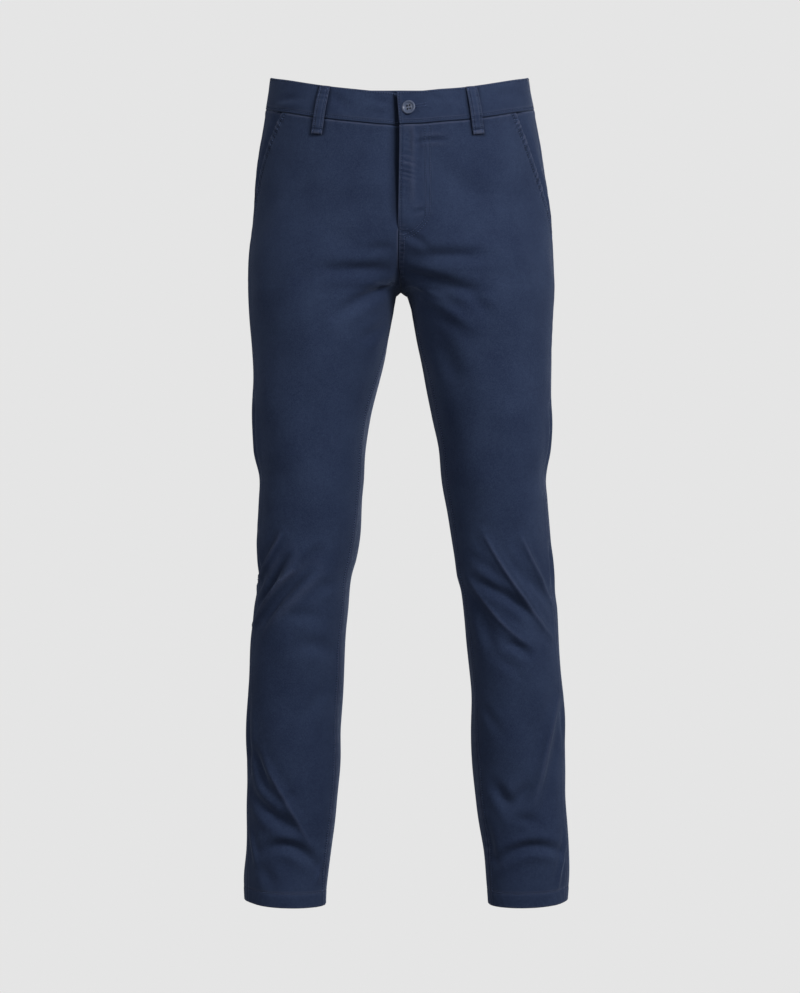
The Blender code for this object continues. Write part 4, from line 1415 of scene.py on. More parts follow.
    def sew(self, sewing: "Sewing") -> None:
        """Stitches of the hem, the pocket's mouth and, on the left, the fly.

        Args:
            sewing: Takes the stitches.
        """
        super().sew(sewing)
        grid = self.grid
        mouth_rows = np.flatnonzero(grid.z[:, -1] > MOUTHS[self.half].end + 4)
        rows = slice(3, mouth_rows[-1] + 1)
        sewing.row(self.inset_line(grid.from_side, self.mouth_stitch, rows))
        for row in (rows.start + 4, rows.stop - 1):
            bar = self.outer[row] + self.normal[row] * 0.2
            gaps = grid.from_side[row]
            places = (self.mouth_stitch + 1, 1)
            ends = [np.interp(places, gaps[::-1], bar[::-1, axis]) for axis in range(3)]
            sewing.bar(np.stack(ends, -1), self.normal[row, -9])
        if self.half is Half.LEFT:
            self.sew_fly(sewing)

    def sew_fly(self, sewing: "Sewing") -> None:
        """The fly's edge, its two curved rows and bars, and the rows over the seam below it.

        Args:
            sewing: Takes the stitches.
        """
        edge = self.inset_line(self.grid.from_centre, self.fly_stitch, self.rows_between(-46, -176))
        sewing.row(edge)
        for line in self.fly_rows():
            sewing.row(on_cloth(self.outer, line))
        bar = on_cloth(self.outer, np.array([(-1.2, -173.9), (9.4, -173.6)]), 0.2)
        sewing.bar(bar[[0, -1]], np.array((0, -1, 0)))
        below = self.rows_between(-178, -228)
        for inset in self.crotch_rows:
            sewing.row(self.inset_line(self.grid.from_centre, inset, below))


@dataclass
class PocketFacing:
    """The side piece that shows past the slant pocket's edge and runs on under the front."""

    figure: Figure
    drape: Drape
    half: Half
    under: float = 18
    below_mouth: float = 12
    sink: float = 4.2
    rise_run: float = 16
    tuck_up: float = 5.0  # how far its sunk part runs up behind the waistband
    cloth: float = 1.1
    rows: int = 84
    columns: int = 40

    def build(self) -> Shell:
        """The facing as a shell.

        Returns:
            The shell.
        """
        figure = self.figure
        top = float(figure.waist_seam(figure.outseam(0)))
        down = stations(top - MOUTHS[self.half].end + self.below_mouth, WAIST_EDGE, (0,), self.rows)
        level = (top - down)[:, None]
        forwards = np.degrees(self.under / figure.oval(self.half, level)[3])
        start, end = figure.mouth(self.half, level) - forwards, figure.outseam(level)
        share = 1 - (1 - np.linspace(0, 1, self.columns)[None]) ** 1.5
        turn = start + (end - start) * share
        depth = figure.oval(self.half, level)[3]
        sunk = 1 - ease(np.radians(turn - figure.mouth(self.half, level)) * depth / self.rise_run)
        bend = figure.waist_seam(turn) - top + 0.32 * ease(sunk / 0.12)
        bend = bend + self.tuck_up * ease((sunk - 0.07) / 0.42)
        z = level + bend * (1 - ease(down / 70))[:, None]
        smooth = figure.point(self.half, turn, z)
        outward = figure.outward(self.half, turn, z)
        depth = figure.oval(self.half, z)[3]
        shown = np.radians(turn - figure.mouth(self.half, z)) * depth
        from_side = np.radians(figure.outseam(z) - turn) * depth + 0.15
        lift = self.drape.lift(self.half, smooth) - self.sink * (1 - ease(shown / self.rise_run))
        points = smooth + outward * lift[..., None]
        points[:, -1] += unit(points[:, -2] - points[:, -1]) * 0.15
        wall = Wall.plain(z.shape, self.cloth)
        wall.seam_edge(from_side)
        wall.seam_edge(figure.waist_seam(turn) - z)
        outer, inner = wall.faces(points, normals_of(points, outward))
        node = f"pocket_facing_{self.half.name}".lower()
        return Shell(node, outer, inner, -from_side, -z, wall.rub)


@dataclass
class FlyShield:
    """The strip behind the fly, from inside the right front to inside the left one."""

    figure: Figure
    right: float = -20
    left: float = 34
    foot: float = -187
    sink: float = 7.4
    cloth: float = 1.2

    def build(self) -> Shell:
        """The strip as a shell.

        Returns:
            The shell.
        """
        figure = self.figure
        x = np.linspace(self.right, self.left, 28)[None]
        share = np.linspace(0, 1, 60)[:, None]
        top = float(figure.waist_seam(-90)) - 0.3
        z = top + (self.foot - top) * share + 0 * x
        grids = []
        for half in Half:
            turn = figure.turn_at(half, Face.FRONT, x + 0 * z, z)
            grids.append((figure.point(half, turn, z), figure.outward(half, turn, z)))
        on_left = (x > figure.seam_x)[..., None]
        smooth, outward = (np.where(on_left, left, right) for right, left in zip(*grids))
        points = smooth - outward * self.sink
        wall = Wall.plain(z.shape, self.cloth)
        wall.fold_edge(self.left - x + 0 * z, 1.0)
        outer, inner = wall.faces(points, outward)
        return Shell("fly_shield", outer, inner, x + 0 * z, -z, wall.rub)


@dataclass
class Waistband:
    """One strip round the waist, edge-stitched, whose left end laps over its right one."""

    figure: Figure
    drape: Drape
    proud: float = 1.0
    sunk: float = 1.6
    under: float = 38
    lap: float = 3.5
    lean: float = 3.3  # how much further the left end reaches at its top than at its foot
    step: float = 2.4
    stitch: float = 2.0
    foot_stitch: float = 3.6
    heights: tuple = (
        *(0, 0.3, 0.8, 1.4, 2.1, 2.8, 3.6, 4.4, 5.4, 7, 9.4, 12.4, 15.6, 19, 22.4, 25.6, 28.8),
        *(32.2, 34.9, 37.0, 37.9, 38.5, 39.1, 39.7, 40.2, 40.5),
    )
    buttonhole_runs: tuple = (
        ((7, -22.9), (31.6, -19.4)),
        ((7, -25.4), (31.2, -22.6)),
        ((31.8, -18.9), (31.6, -23)),
    )
    cord_aside: float = 0.42
    outer: Array = None
    normal: Array = None
    from_end: Array = None

    def even_turns(self, half: Half, start: float, end: float) -> Array:
        """Turns from start to end at an even distance along the band.

        Args:
            half: The half that they are on.
            start: The first turn.
            end: The last one.

        Returns:
            The turns.
        """
        turn = np.linspace(start, end, 600)
        length = lengths_along(self.figure.point(half, turn, np.full(600, 10.0)))
        return np.interp(np.linspace(0, length[-1], round(length[-1] / self.step) + 1), length, turn)

    def columns(self) -> list:
        """The strip's stretches: a half, its turns, and whether they lap over.

        Returns:
            The stretches, from the tucked end to the lapping one.
        """
        figure = self.figure
        tuck = figure.turn_at(Half.LEFT, Face.FRONT, figure.seam_x + self.under, figure.band_front_z)
        x = figure.seam_x - np.array((0.8, 1.6, 2.3, 2.8, 3.2, self.lap))
        lap = figure.turn_at(Half.RIGHT, Face.FRONT, x, np.full(len(x), figure.band_front_z))
        return [
            (Half.LEFT, self.even_turns(Half.LEFT, float(tuck), -90)[:-1], 0),
            (Half.RIGHT, self.even_turns(Half.RIGHT, -90, 90)[:-1], 0),
            (Half.LEFT, self.even_turns(Half.LEFT, 90, -90), 1),
            (Half.RIGHT, lap, 1),
        ]

    def build(self) -> Shell:
        """The band as a shell.

        Returns:
            The shell.
        """
        figure = self.figure
        height = np.array(self.heights)[:, None]
        points, ways = [], []
        for half, turn, lapping in self.columns():
            z = figure.waist_seam(turn)[None] + 0.15 + height
            smooth = figure.point(half, turn[None] + 0 * z, z)
            outward = figure.outward(half, turn[None] + 0 * z, z)
            in_front = smooth[:1, :, 1] < 0
            lift = lapping * figure.left_end_lift(smooth[:1, :, 0]) * in_front
            lift = lift - (1 - lapping) * figure.tuck(figure.seam_x - smooth[:1, :, 0]) * in_front
            lift = lift + self.drape.push(BAND_FOLDS, half, smooth)
            points.append(smooth + outward * lift[..., None])
            ways.append(outward)
        points, outward = np.concatenate(points, 1), np.concatenate(ways, 1)
        along = lengths_along(points[10])[None] + 0 * height
        self.from_end = along[:, -1:] - along
        corner = roll(height, 3.5, 2.6) * (1 - ease(self.from_end / 5))
        slanted = self.lean * (0.5 - height / height[-1])
        points[..., 0] += corner + slanted * (1 - ease(self.from_end / 12))
        wall = Wall.plain(along.shape, self.proud + self.sunk)
        total = float(height[-1, 0])
        puff = np.sin(np.pi * np.clip(height / total, 0, 1)) ** 0.6
        swell = 0.3 * ripple(along, 58, 0.3) + 0.2 * ripple(along + 2 * height, 23, 1.9)
        wall.relief += puff * (0.35 + 0.5 * swell)
        for row in (self.foot_stitch, total - self.stitch):
            wall.stitch_row(height - row + 0 * along, 1.0, 0.6)
            wall.pucker(height - row + 0 * along, along, Gather(9, 0.2 * row, 0.16, 4))
        wall.stitch_row(self.from_end - self.stitch)
        wall.fold_edge(total - height + 0 * along, 1.0)
        wall.fold_edge(self.from_end, 1.0)
        wall.lowered = np.maximum(wall.lowered, roll(height, 0.9, 1.0) + 0 * along)
        # Painted shade along the band's foot, and painted shadow on the under end of the band beside the
        # lapping left end's edge
        wall.rub -= 0.9 * bump(height, 0.9) + 1.3 * bump(along - self.under, 11)
        # Painted shadow beside the belt loops
        wall.rub -= loops_painted_shadow(figure, points)
        self.normal = normals_of(points, outward)
        self.outer = points + self.normal * (self.proud + wall.relief - wall.lowered)[..., None]
        under = wall.relief * 0.5 - self.sunk + wall.raised
        inner = points + self.normal * under[..., None]
        return Shell("waistband", self.outer, inner, along, -(height + 0 * along), wall.rub)

    def sew(self, sewing: "Sewing") -> None:
        """Stitches along both edges and the end, and the buttonhole.

        Args:
            sewing: Takes the stitches.
        """
        shown = slice(int(self.under / self.step) + 2, -4)
        raised = self.outer + self.normal * OVER
        for height in (self.foot_stitch, self.heights[-1] - self.stitch):
            sewing.row(raised[self.heights.index(height), shown])
        end = int(np.argmin(np.abs(self.from_end[0] - self.stitch)))
        sewing.row(raised[4:-4, end])
        for edge in self.buttonhole():
            sewing.strand(edge)

    def buttonhole(self) -> list:
        """The two corded edges of the buttonhole, and the tack at its end, as zigzags of thread.

        Returns:
            The lines.
        """
        front = self.outer[:, -60:]
        edges = []
        for start, end in np.array(self.buttonhole_runs):
            run = end - start
            share = np.linspace(0, 1, 2 * round(float(abs(run[0])) + 8))[:, None]
            sign = np.where(np.arange(len(share)) % 2, 1, -1)[:, None]
            line = start + run * share + unit(run)[::-1] * (-1, 1) * self.cord_aside * sign
            found = [on_cloth(front, np.stack((each, each + 1e-4)), 0.3)[:1] for each in line]
            edges.append(np.concatenate(found))
        return edges


@dataclass(frozen=True)
class BeltLoop:
    """A narrow strip over the waistband, tacked at its top and below the waist seam."""

    node: str
    half: Half
    face: Face
    x_top: float
    x_foot: float
    bulge: float = 2.0
    lean: float = 0.0  # how much more one side stands off than the other
    width: float = 14.4
    cloth: float = 1.7
    below_seam: float = 19
    fold: float = 5.2
    fold_height: float = 0.3
    band_height: float = 40.5
    stitch: float = 2.3
    edge: tuple = (0, 0.4, 1.0, 1.7, 2.3, 3.2)
    top_edge: tuple = (0, 0.4, 1.0, 1.8, 3.0)
    rows: int = 56
    columns: int = 19

    def seam(self, figure: Figure) -> float:
        """Height of the waist seam where the loop crosses it."""
        turn = figure.turn_at(self.half, self.face, self.x_top, figure.band_front_z)
        return float(figure.waist_seam(turn))

    def gap(self, figure: Figure, points: Array) -> Array:
        """How far points lie outside the loop, seen from the front or from the back.

        Args:
            figure: The form that it lies on.
            points: Points of the cloth under it.

        Returns:
            0 behind the loop, and a distance past its sides and its foot.
        """
        length = self.band_height + self.below_seam
        down = self.seam(figure) + self.band_height - points[..., 2]
        middle = self.x_top + (self.x_foot - self.x_top) * down / length
        aside = np.maximum(np.abs(points[..., 0] - middle) - self.width / 2, 0)
        in_front = points[..., 1] < 0
        gap = np.hypot(aside, np.maximum(down - length, 0))
        return np.where(in_front == (self.face is Face.FRONT), gap, FAR)

    def build(self, figure: Figure, sewing: "Sewing") -> Shell:
        """The loop as a shell, with its stitches put on the sewing.

        Args:
            figure: The form that it lies on.
            sewing: Takes its stitches.

        Returns:
            The shell.
        """
        seam = self.seam(figure)
        length = self.band_height + self.below_seam
        down = stations(length, self.top_edge, (*self.top_edge, 4.2), self.rows)[:, None]
        share = down / length
        x = self.x_top + (self.x_foot - self.x_top) * share
        z = seam + self.band_height - down
        turn = figure.turn_at(self.half, self.face, x, z)
        middle = figure.point(self.half, turn, z)
        outward = figure.outward(self.half, turn, z)
        across = unit(np.cross(np.gradient(middle, axis=0), outward))
        on_band = 1 - ease((down - self.band_height + 2) / 4)
        off = 0.6 + 0.75 * on_band + self.bulge * np.sin(np.pi * share) ** 0.85
        off = off + 0.25 * ripple(down, 12, self.x_top) * np.sin(np.pi * share)
        if self.face is Face.FRONT and self.half is Half.LEFT:
            off = off + figure.left_end_lift(x)
        side = stations(self.width, self.edge, self.edge, self.columns)
        off = off + self.lean * (side / self.width - 0.5) * np.sin(np.pi * share)
        points = middle + across * (side - self.width / 2)[None, :, None] + outward * off[..., None]
        wall = Wall.plain(off.shape, self.cloth)
        edge = np.minimum(side, self.width - side)[None] + 0 * down
        wall.relief += 0.45 * ease((edge - 2.4) / 2.2)
        wall.stitch_row(edge - self.stitch, 1.3)
        wall.pucker(edge - self.stitch, down, Gather(8.6, self.x_foot, 0.5, 4.2))
        folded = ease((down - length + self.fold) / 0.8)
        wall.relief += self.fold_height * folded - 0.5 * bump(down - 4.2, 1.2)
        wall.relief -= (0.2 + self.fold_height) * bump(down - length + self.fold + 1, 1.2)
        # The folded foot painted paler, partly wear and partly highlight, with painted shade in the crease
        # where it folds
        wall.rub += self.fold_height * folded - bump(down - length + self.fold + 0.8, 0.9)
        wall.fold_edge(edge, 1.0)
        wall.fold_edge(np.minimum(down, length - down) + 0 * edge, 1.0)
        wall.lowered, wall.raised = wall.raised, wall.lowered
        top = points + outward * (self.cloth + wall.relief - wall.raised)[..., None]
        under = points + outward * wall.lowered[..., None]
        raised = top + outward * OVER
        for column in (4, -5):
            sewing.row(raised[4:-4, column])
        for row in (5, -6):
            sewing.bar(raised[row, [3, -4]], outward[row, 0])
        return Shell(self.node, top, under, side[None] + 0 * down, down + 0 * edge, wall.rub)


BELT_LOOPS = (
    BeltLoop("belt_loop_front_right", Half.RIGHT, Face.FRONT, -91.5, -102, 1.9, 0.6),
    BeltLoop("belt_loop_front_left", Half.LEFT, Face.FRONT, 87, 96, 2.6, -1.4, fold_height=0.9),
    BeltLoop("belt_loop_back_right", Half.RIGHT, Face.BACK, -112, -116, 2.0, 0.4),
    BeltLoop("belt_loop_back_left", Half.LEFT, Face.BACK, 110, 114, 2.2, -0.4),
    BeltLoop("belt_loop_centre_back", Half.RIGHT, Face.BACK, 1, 1, 2.0, 0.2),
)


def loops_painted_shadow(figure: Figure, points: Array, shade: float = 0.8) -> Array:
    """The painted shadow round the belt loops, darkest close beside them.

    Args:
        figure: The form that the loops lie on.
        points: Points of the cloth under them.
        shade: How dark the painted shadow is close beside a loop.

    Returns:
        The shade at each point.
    """
    return sum(shade * bump(loop.gap(figure, points) - 0.8, 1.8) for loop in BELT_LOOPS)


@dataclass(frozen=True)
class WaistButton:
    """A turned button with a raised rim and four holes in two upright pairs, with thread down through each
    hole.
    """

    x: float = 10.7
    z: float = -25.5
    off: float = 5.2
    hole_radius: float = 1.35
    hole_across: float = 1.7
    hole_up: float = 2.05
    turned_left: float = 18.0
    spun: float = 11.0
    steps: int = 72
    dish: tuple = ((0, 1.7), (3.6, 1.72), (5.0, 1.85), (5.6, 2.1), (6.1, 2.55), (6.6, 2.88))
    rim: tuple = ((7.2, 3.0), (7.8, 2.88), (8.25, 2.5), (8.5, 1.9), (8.4, 1.2), (8.0, 0.7))
    foot: tuple = ((7.4, 0.3), (6.6, 0.08), (5.6, 0), (0, 0))

    def place(self, figure: Figure) -> Matrix:
        """The matrix that sets the button on the band, in metres.

        Args:
            figure: The form that it lies on.

        Returns:
            The matrix.
        """
        turn = figure.turn_at(Half.LEFT, Face.FRONT, self.x, self.z)
        outward = figure.outward(Half.LEFT, turn, self.z)
        middle = Vector(figure.point(Half.LEFT, turn, self.z) + outward * self.off) * MM
        facing = Vector(outward).to_track_quat("Z", "Y").to_matrix().to_4x4()
        facing = facing @ Matrix.Rotation(np.radians(self.spun), 4, "Z")
        facing = Matrix.Rotation(-np.radians(self.turned_left), 4, "Z") @ facing
        return Matrix.Translation(middle) @ facing

    def holes(self) -> list:
        """The places of the four holes, as two upright pairs."""
        x, y = self.hole_across, self.hole_up
        return [(-x, y), (-x, -y), (x, y), (x, -y)]

    def build(self, figure: Figure, finish: "Finish", sewing: "Sewing") -> Object:
        """The button as a mesh, with its thread put on the sewing.

        Args:
            figure: The form that it lies on.
            finish: What it is made of.
            sewing: Takes its thread.

        Returns:
            The linked object.
        """
        outline = np.array(self.dish + self.rim + self.foot) * MM
        blank = linked("button blank", turned("button blank", outline, self.steps, 1e-6))
        body = bmesh.new()
        sizes = {"segments": 24, "depth": 0.02}
        sizes |= {"radius1": self.hole_radius * MM, "radius2": self.hole_radius * MM}
        for x, y in self.holes():
            matrix = Matrix.Translation((x * MM, y * MM, 0))
            bmesh.ops.create_cone(body, cap_ends=True, matrix=matrix, **sizes)
        drills = bpy.data.meshes.new("button drills")
        body.to_mesh(drills)
        body.free()
        drilled = blank.modifiers.new("Holes", "BOOLEAN")
        drilled.object = linked("button drills", drills)
        mesh = plain_mesh(blank)
        bpy.data.objects.remove(bpy.data.objects["button drills"])
        place = self.place(figure)
        mesh.transform(place)
        mesh.shade_smooth()
        mesh.set_sharp_from_angle(angle=np.radians(42))
        mesh.name = "waist_button_turned"
        piece = add_piece("waist_button_turned", mesh, finish)
        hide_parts("waist_button")
        self.sew(place, sewing)
        LOG.info("%s: 17 mm across", piece.name)
        return piece

    def sew(self, place: Matrix, sewing: "Sewing") -> None:
        """The near-black thread that fills each hole and goes down into the band, as painted shade of the
        holes.

        Args:
            place: The button's matrix.
            sewing: Takes the thread.
        """
        for x, y in self.holes():
            local = [(x, y, height) for height in np.linspace(0.6, -1.6, 5)]
            sewing.strand(np.array([place @ (Vector(point) * MM) / MM for point in local]))


def plain_mesh(source: Object) -> Mesh:
    """The evaluated mesh of an object, which is then removed.

    Args:
        source: The object, with its modifiers.

    Returns:
        The mesh.
    """
    graph = bpy.context.evaluated_depsgraph_get()
    mesh = bpy.data.meshes.new_from_object(source.evaluated_get(graph))
    bpy.data.objects.remove(source)
    return mesh


def socket_named(sockets: Iterable, name: str) -> NodeSocket:
    """The usable socket of that name."""
    return next(each for each in sockets if each.enabled and each.name == name)


@dataclass(frozen=True)
class Wire:
    """An output in a node tree, which sums and products can be written with."""

    tree: NodeTree
    socket: NodeSocket

    def _math(self, operation: str, *terms: "Wire | float") -> "Wire":
        """A Math node of this operation over the terms.

        Args:
            operation: The node's operation.
            terms: Its inputs in order.

        Returns:
            Its output.
        """
        node = self.tree.nodes.new("ShaderNodeMath")
        node.operation = operation
        for place, term in zip(node.inputs, terms):
            if isinstance(term, Wire):
                self.tree.links.new(term.socket, place)
            else:
                place.default_value = term
        return Wire(self.tree, node.outputs[0])

    def __add__(self, other: "Wire | float") -> "Wire":
        """The sum."""
        return self._math("ADD", self, other)

    def __sub__(self, other: "Wire | float") -> "Wire":
        """The difference."""
        return self._math("SUBTRACT", self, other)

    def __rsub__(self, other: float) -> "Wire":
        """The difference from a number."""
        return self._math("SUBTRACT", other, self)

    def __mul__(self, other: "Wire | float") -> "Wire":
        """The product."""
        return self._math("MULTIPLY", self, other)

    __radd__ = __add__
    __rmul__ = __mul__

    def sine(self) -> "Wire":
        """The sine of the value in radians."""
        return self._math("SINE", self)

    def clamped(self) -> "Wire":
        """The value held between 0 and 1."""
        return self._math("MINIMUM", self._math("MAXIMUM", self, 0.0), 1.0)


@dataclass(frozen=True)
class Nodes:
    """Adds nodes to a tree."""

    tree: NodeTree

    def add(self, kind: str, settings: dict | None = None, inputs: dict | None = None) -> Node:
        """A node with its settings made first, and then its sockets' values and links.

        Args:
            kind: The node's type.
            settings: Its properties by name.
            inputs: Its sockets' values, wires or other nodes' sockets, by name.

        Returns:
            The node.
        """
        node = self.tree.nodes.new(kind)
        for name, value in (settings or {}).items():
            setattr(node, name, value)
        for name, value in (inputs or {}).items():
            place = socket_named(node.inputs, name)
            if isinstance(value, Wire):
                self.tree.links.new(value.socket, place)
            elif isinstance(value, NodeSocket):
                self.tree.links.new(value, place)
            else:
                place.default_value = value
        return node

    def wire(self, node: Node, name: str) -> Wire:
        """One of a node's outputs, for sums and products."""
        return Wire(self.tree, socket_named(node.outputs, name))

    def mix(self, share: Wire, first: "tuple | Wire", second: "tuple | Wire") -> Wire:
        """Two colours mixed by a share of the second."""
        sides = {"Factor": share, "A": first, "B": second}
        return self.wire(self.add("ShaderNodeMix", {"data_type": "RGBA"}, sides), "Result")

    def place(self) -> Wire:
        """The place of a point on its object, in metres."""
        return self.wire(self.add("ShaderNodeTexCoord"), "Object")

    def drawn(self, name: str) -> Wire:
        """The value of a mesh's attribute."""
        return self.wire(self.add("ShaderNodeAttribute", {"attribute_name": name}), "Fac")

    def noise(self, place: Wire, scale: float, detail: float, roughness: float = 0.5) -> Wire:
        """A fractal noise from 0 to 1."""
        inputs = {"Vector": place, "Scale": scale, "Detail": detail, "Roughness": roughness}
        return self.wire(self.add("ShaderNodeTexNoise", None, inputs), "Fac")


@dataclass(frozen=True)
class Finish:
    """What a piece is made of, as a procedural material."""

    title: str
    slot: Slot

    def material(self) -> Material:
        """The finish's one material, made at its first use.

        Returns:
            The material.
        """
        found = bpy.data.materials.get(self.title)
        if found:
            return found
        made = bpy.data.materials.new(self.title)
        made.use_nodes = True
        made.node_tree.nodes.clear()
        nodes = Nodes(made.node_tree)
        shader = nodes.add("ShaderNodeBsdfPrincipled", None, self.dress(nodes))
        nodes.add("ShaderNodeOutputMaterial", None, {"Surface": shader.outputs[0]})
        return made

    def dress(self, nodes: Nodes) -> dict:
        """The shader's inputs, by name."""
        raise NotImplementedError


@dataclass(frozen=True)
class Twill(Finish):
    """Brushed cotton twill in navy, painted paler at its edges and crests, partly for wear and partly as
    highlight, and darker with painted shade in hollows.
    """

    title: str = "Navy twill"
    slot: Slot = Slot.TWILL
    deep: tuple = (0.0138, 0.0226, 0.0566, 1)
    light: tuple = (0.0315, 0.0484, 0.0990, 1)
    # Paler colour for wear and painted highlight
    pale_wear_and_highlight: tuple = (0.080, 0.092, 0.150, 1)
    # Darker colour for painted shade
    painted_shade_colour: tuple = (0.0075, 0.0125, 0.0290, 1)
    rib: float = 0.00085
    slant: float = 0.62
    yarn: float = 0.0005
    fleck: tuple = (760, 3, 0.75)  # scale, detail and roughness of a noise
    slub: tuple = (150, 2, 0.5)
    cloud: tuple = (24, 1, 0.4)
    # How far the paler colour and the painted shade reach
    pale_wear_and_highlight_share: float = 0.75
    painted_shade_share: float = 0.85
    relief: float = 0.00010

    def dress(self, nodes: Nodes) -> dict:
        """Slanting ribs and yarns from the cut, a faint mottling in the dye, and the painted wear, highlight
        and shade of the mesh's mark.

        Args:
            nodes: The material's tree.

        Returns:
            The shader's inputs, by name.
        """
        cut = nodes.add("ShaderNodeUVMap", {"uv_map": "cut"})
        parts = nodes.add("ShaderNodeSeparateXYZ", None, {"Vector": cut.outputs[0]})
        across, down = nodes.wire(parts, "X"), nodes.wire(parts, "Y")
        rib = ((across + self.slant * down) * (2 * np.pi / self.rib)).sine()
        yarn = (down * (2 * np.pi / self.yarn)).sine()
        place, rub = nodes.place(), nodes.drawn("rub")
        fleck, slub, cloud = (nodes.noise(place, *sizes) for sizes in (self.fleck, self.slub, self.cloud))
        mottling = 2.3 * (fleck - 0.5) + 0.35 * (slub - 0.5) + 0.75 * (cloud - 0.5)
        colour = nodes.mix((0.12 * rib + mottling + 0.5).clamped(), self.deep, self.light)
        # Paler where wear and highlight are painted
        wear_and_painted_light = (rub * (0.35 + 0.65 * fleck)).clamped() * self.pale_wear_and_highlight_share
        colour = nodes.mix(wear_and_painted_light, colour, self.pale_wear_and_highlight)
        # Darker where painted shade falls
        colour = nodes.mix((rub * -1.0).clamped() * self.painted_shade_share, colour, self.painted_shade_colour)
        height = 0.6 * rib + 0.25 * yarn + 2.2 * (fleck - 0.5)
        relief = {"Height": height, "Distance": self.relief, "Strength": 0.55}
        return {
            "Base Color": colour,
            "Roughness": 0.86,
            "Specular IOR Level": 0.12,
            "Sheen Weight": 0.22,
            "Sheen Roughness": 0.4,
            "Sheen Tint": (0.55, 0.68, 1.0, 1),
            "Normal": nodes.wire(nodes.add("ShaderNodeBump", None, relief), "Normal"),
        }


@dataclass(frozen=True)
class Thread(Finish):
    """Spun polyester thread, dyed to match the cloth."""

    title: str = "Navy thread"
    slot: Slot = Slot.THREAD
    deep: tuple = (0.066, 0.100, 0.210, 1)
    light: tuple = (0.115, 0.165, 0.320, 1)
    # Painted shade of the needle holes
    needle_hole_shade: tuple = (0.004, 0.006, 0.014, 1)

    def dress(self, nodes: Nodes) -> dict:
        """A matt thread of slightly uneven colour, and painted shade for the needle holes between its
        stitches.

        Args:
            nodes: The material's tree.

        Returns:
            The shader's inputs, by name.
        """
        colour = nodes.mix(nodes.noise(nodes.place(), 900, 2), self.deep, self.light)
        colour = nodes.mix(nodes.drawn("shade_pit"), colour, self.needle_hole_shade)
        return {"Base Color": colour, "Roughness": 0.75, "Specular IOR Level": 0.2}


# Near-black thread that fills the button's holes, as painted shade of the holes
HOLE_SHADE_THREAD = Thread("Hole shade thread", deep=(0.003, 0.004, 0.009, 1), light=(0.006, 0.008, 0.016, 1))


@dataclass(frozen=True)
class ButtonResin(Finish):
    """Cast resin in a greyer navy, satin from tumbling."""

    title: str = "Grey navy resin"
    slot: Slot = Slot.BUTTON
    deep: tuple = (0.060, 0.080, 0.140, 1)
    light: tuple = (0.085, 0.108, 0.175, 1)

    def dress(self, nodes: Nodes) -> dict:
        """A satin surface with a cloudy dye.

        Args:
            nodes: The material's tree.

        Returns:
            The shader's inputs, by name.
        """
        place = nodes.place()
        return {
            "Base Color": nodes.mix(nodes.noise(place, 190, 3), self.deep, self.light),
            "Roughness": 0.34 + 0.14 * nodes.noise(place, 1200, 2),
            "Specular IOR Level": 0.5,
        }


@dataclass(frozen=True)
class StudioPaper(Finish):
    """Pale paper of the studio's floor and surround."""

    title: str = "Pale paper"
    slot: Slot = Slot.TWILL
    shade: tuple = (0.0, 0.0, 0.0, 1)
    glow: tuple = (1.0, 1.0, 1.0, 1)
    strength: float = 0.784

    def dress(self, nodes: Nodes) -> dict:
        """An even, matt and faintly lit surface.

        Args:
            nodes: The material's tree.

        Returns:
            The shader's inputs, by name.
        """
        return {
            "Base Color": self.shade,
            "Roughness": 1.0,
            "Specular IOR Level": 0.0,
            "Emission Color": self.glow,
            "Emission Strength": self.strength,
        }


